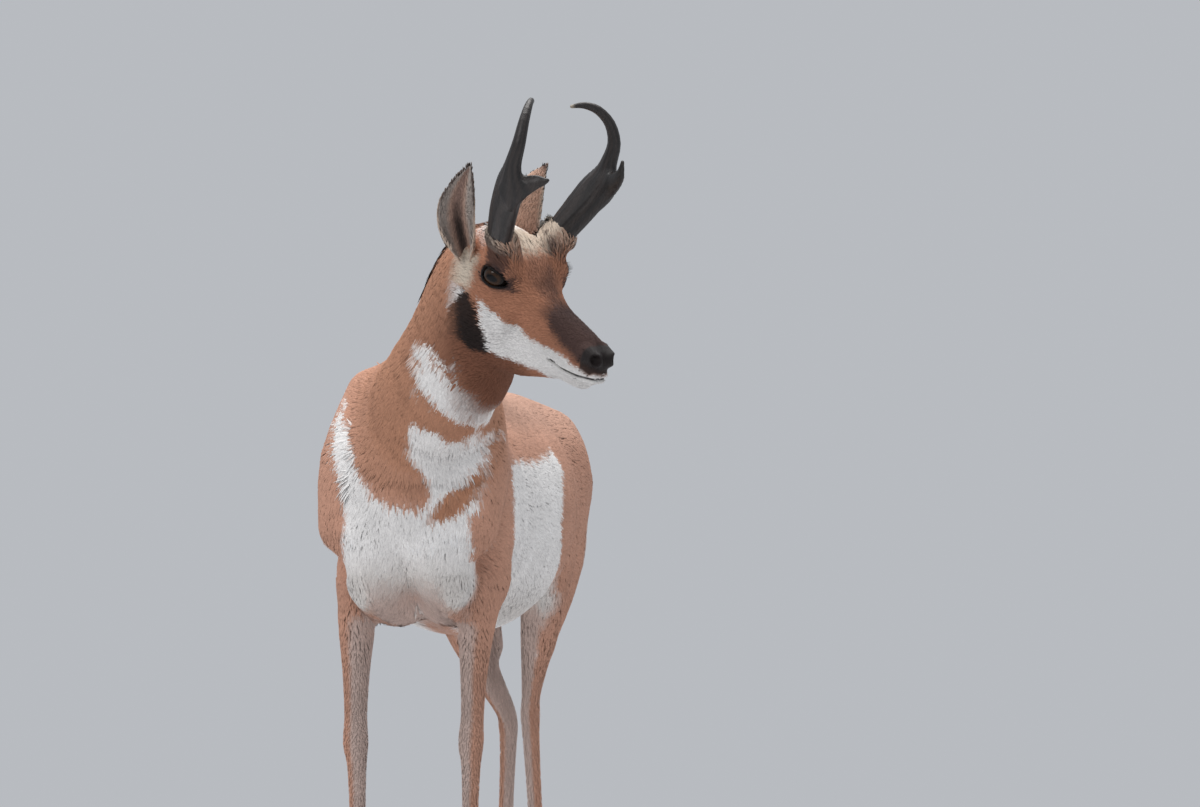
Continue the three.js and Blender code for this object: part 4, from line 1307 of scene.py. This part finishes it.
def hornRelief(beam, local):
    _, share, turn = measure(beam, local)
    grooves = np.sin(11 * turn + 2.2 * wave(local, 30, 0.5))
    grooves += 0.6 * np.sin(23 * turn + 3 * wave(local, 18, 1.1))
    knobs = np.maximum(wave(local, 5.0, 2.2), 0) ** 2
    smoothing = step(-share, -0.72, -0.35)
    return horn["grain"] * grooves * smoothing + horn["knobs"] * knobs * step(-share, -0.34, -0.05)


horns = []
for name in sides:
    beam, spur = hornForms(name)

    def hornLevel(points):
        local = toHead(fromFrame(points))
        d = softMin(measure(beam, local)[0], measure(spur, local)[0], horn["blend"])
        return d - hornRelief(beam, local) * 0.5

    tubes = [closedTube(tubeRings(form, 24)) for form in (beam, spur)]
    mesh = remeshed(tubes, headToFrame, horn["voxel"], "horn_" + name)
    settle(mesh, hornLevel, 5, 0.5, 4)
    local = toHead(fromFrame(vertexArray(mesh)))
    _, share, turn = measure(beam, local)
    relief = hornRelief(beam, local)
    streak = 0.5 + 0.5 * np.sin(9 * turn + 3 * wave(local, 26, 0.2))
    setTint(mesh, shadeMix(
        horn["dark"], (horn["streak"], streak * 0.5),
        (horn["knob"], 0.5 * step(-share, -0.2, 0) * step(relief, 0.1, 1.0)),
        (horn["tip"], 0.75 * step(share, 0.955, 1.0)),
    ))
    setLie(mesh, np.tile(headTurn[:, 2], (len(local), 1)))
    horns.append((name, linked("hornSheath_" + name, smoothed(mesh))))
    print("horn", name, len(mesh.vertices), "points")
hornMaterial = strandMaterial("hornSheath", 0.42, 520, 0.35, 0.45, 0.0008, 0.93, 0.5)

# Hooves: two pointed toes to each foot, flat below
hoof = {
    "height": 34, "around": 40, "fore": (10.5, 34), "hind": (10, 31), "aside": 11.5, "back": 6, "rise": 9,
    "dark": (0.030, 0.024, 0.022), "worn": (0.11, 0.085, 0.065), "point": 0.3, "groove": 0.012,
}
hoofLevels = [  # [height, scale, shift to the back]
    (0, 0.93, 0.5), (1.2, 0.985, 0.6), (4, 1.02, 1), (12, 0.955, 4), (20, 0.88, 7), (28, 0.80, 11),
    (hoof["height"], 0.74, 14), (hoof["height"] + hoof["rise"], 0.5, 17),
]


def hoofPiece(name, x, y, size):
    turns = ringTurns(hoof["around"])
    toe = np.maximum(-np.cos(turns), 0)
    rings = []
    for z, scale, back in hoofLevels:
        groove = 1 - hoof["groove"] * (1 + math.cos(z * 1.15))
        rings.append(np.column_stack([
            x + size[0] * scale * groove * np.sin(turns) * (1 - hoof["point"] * toe * toe),
            y + size[1] * scale * groove * np.cos(turns) + back, np.full(len(turns), float(z)),
        ]))
    points, faces = closedTube(rings)
    made = meshObject(name, toFrame(points), faces)
    turnOutwards(made.data)
    z = points[:, 2]
    setTint(made.data, shadeMix(hoof["dark"], (hoof["worn"], step(-z, -5, 0) * 0.5 + step(z, 24, 36) * 0.5)))
    setLie(made.data, np.tile([0.0, 0.0, 1.0], (len(points), 1)))
    return made


hooves = []
for name, side in sides.items():
    feet = (("foreleg", foreLegRowsOf(name), hoof["fore"]), ("hindleg", hindLegRows[name], hoof["hind"]))
    for foot, rows, size in feet:
        x, y = rows[-1][:2]
        for toe, way in (("outer", 1), ("inner", -1)):
            label = f"{foot}_{name}_{toe}"
            made = hoofPiece(f"toe_{label}", x + way * side * hoof["aside"], y - hoof["back"], size)
            hooves.append((label, made))
hoofMaterial = strandMaterial("hoofHorn", 0.5, 600, 0.4, 0.4, 0.0006, 0.5, 0.5)

fleshNodes = [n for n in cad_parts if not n.startswith(("eye", "horn", "hoof"))]
for piece in (skin, *coatPieces, *lashPieces):
    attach(piece, "root")
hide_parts(*fleshNodes)
for pieces, node, slot, material in (
    (eyes, "eye_", "eye", eyeMaterial), (horns, "horn_", "horn", hornMaterial),
    (hooves, "hoof_", "hoof", hoofMaterial),
):
    for name, piece in pieces:
        piece.data.materials.append(material)
        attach(piece, "root")
        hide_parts(node + name)

# Stage
view = {
    "aim": (275, 19, 795), "azimuth": 12, "elevation": -2.8, "distance": 13.0, "sensor": 36,
    "pixels": 670, "width": 1200,  # pixels of the photo to a metre, and across it
}


def addCamera():
    azimuth, elevation = math.radians(view["azimuth"]), math.radians(view["elevation"])
    level = math.cos(elevation)
    back = Vector((math.sin(azimuth) * level, -math.cos(azimuth) * level, math.sin(elevation)))
    data = bpy.data.cameras.new("camera")
    data.sensor_width = view["sensor"]
    data.lens = view["sensor"] * view["pixels"] * view["distance"] / view["width"]
    data.clip_end = 200
    camera = linked("camera", data)
    camera.location = Vector(toFrame(view["aim"])) + back * view["distance"]
    camera.rotation_euler = (-back).to_track_quat("-Z", "Y").to_euler()
    scene.camera = camera


def addLight(name, place, aim, size, power, colour):
    data = bpy.data.lights.new(name, "AREA")
    data.size, data.energy, data.color = size, power, colour
    light = linked(name, data)
    light.location = place
    light.rotation_euler = (Vector(aim) - Vector(place)).to_track_quat("-Z", "Y").to_euler()


addCamera()
addLight("skyLight", (-0.4, 0.4, 5.0), (0, 0, 0.6), 4.0, 230, (1, 0.98, 0.96))
addLight("frontLight", (-2.6, -5.0, 3.2), (0, 0, 0.8), 1.8, 55, (1, 0.98, 0.97))
world = bpy.data.worlds.new("world")
scene.world = world
world.use_nodes = True
setInputs(world.node_tree.nodes["Background"], {"Color": (0.80, 0.83, 0.88, 1), "Strength": 0.6})
scene.view_settings.view_transform = "Standard"
corners = np.array([(-30, -30, 0), (30, -30, 0), (30, 30, 0), (-30, 30, 0)], float)
floor = meshObject("floor", corners, [(0, 1, 2, 3)])
floorMaterial, floorShader = newMaterial("floor", 0.9, 0.1)
setInputs(floorShader, {"Base Color": (0.58, 0.58, 0.59, 1)})
floor.data.materials.append(floorMaterial)
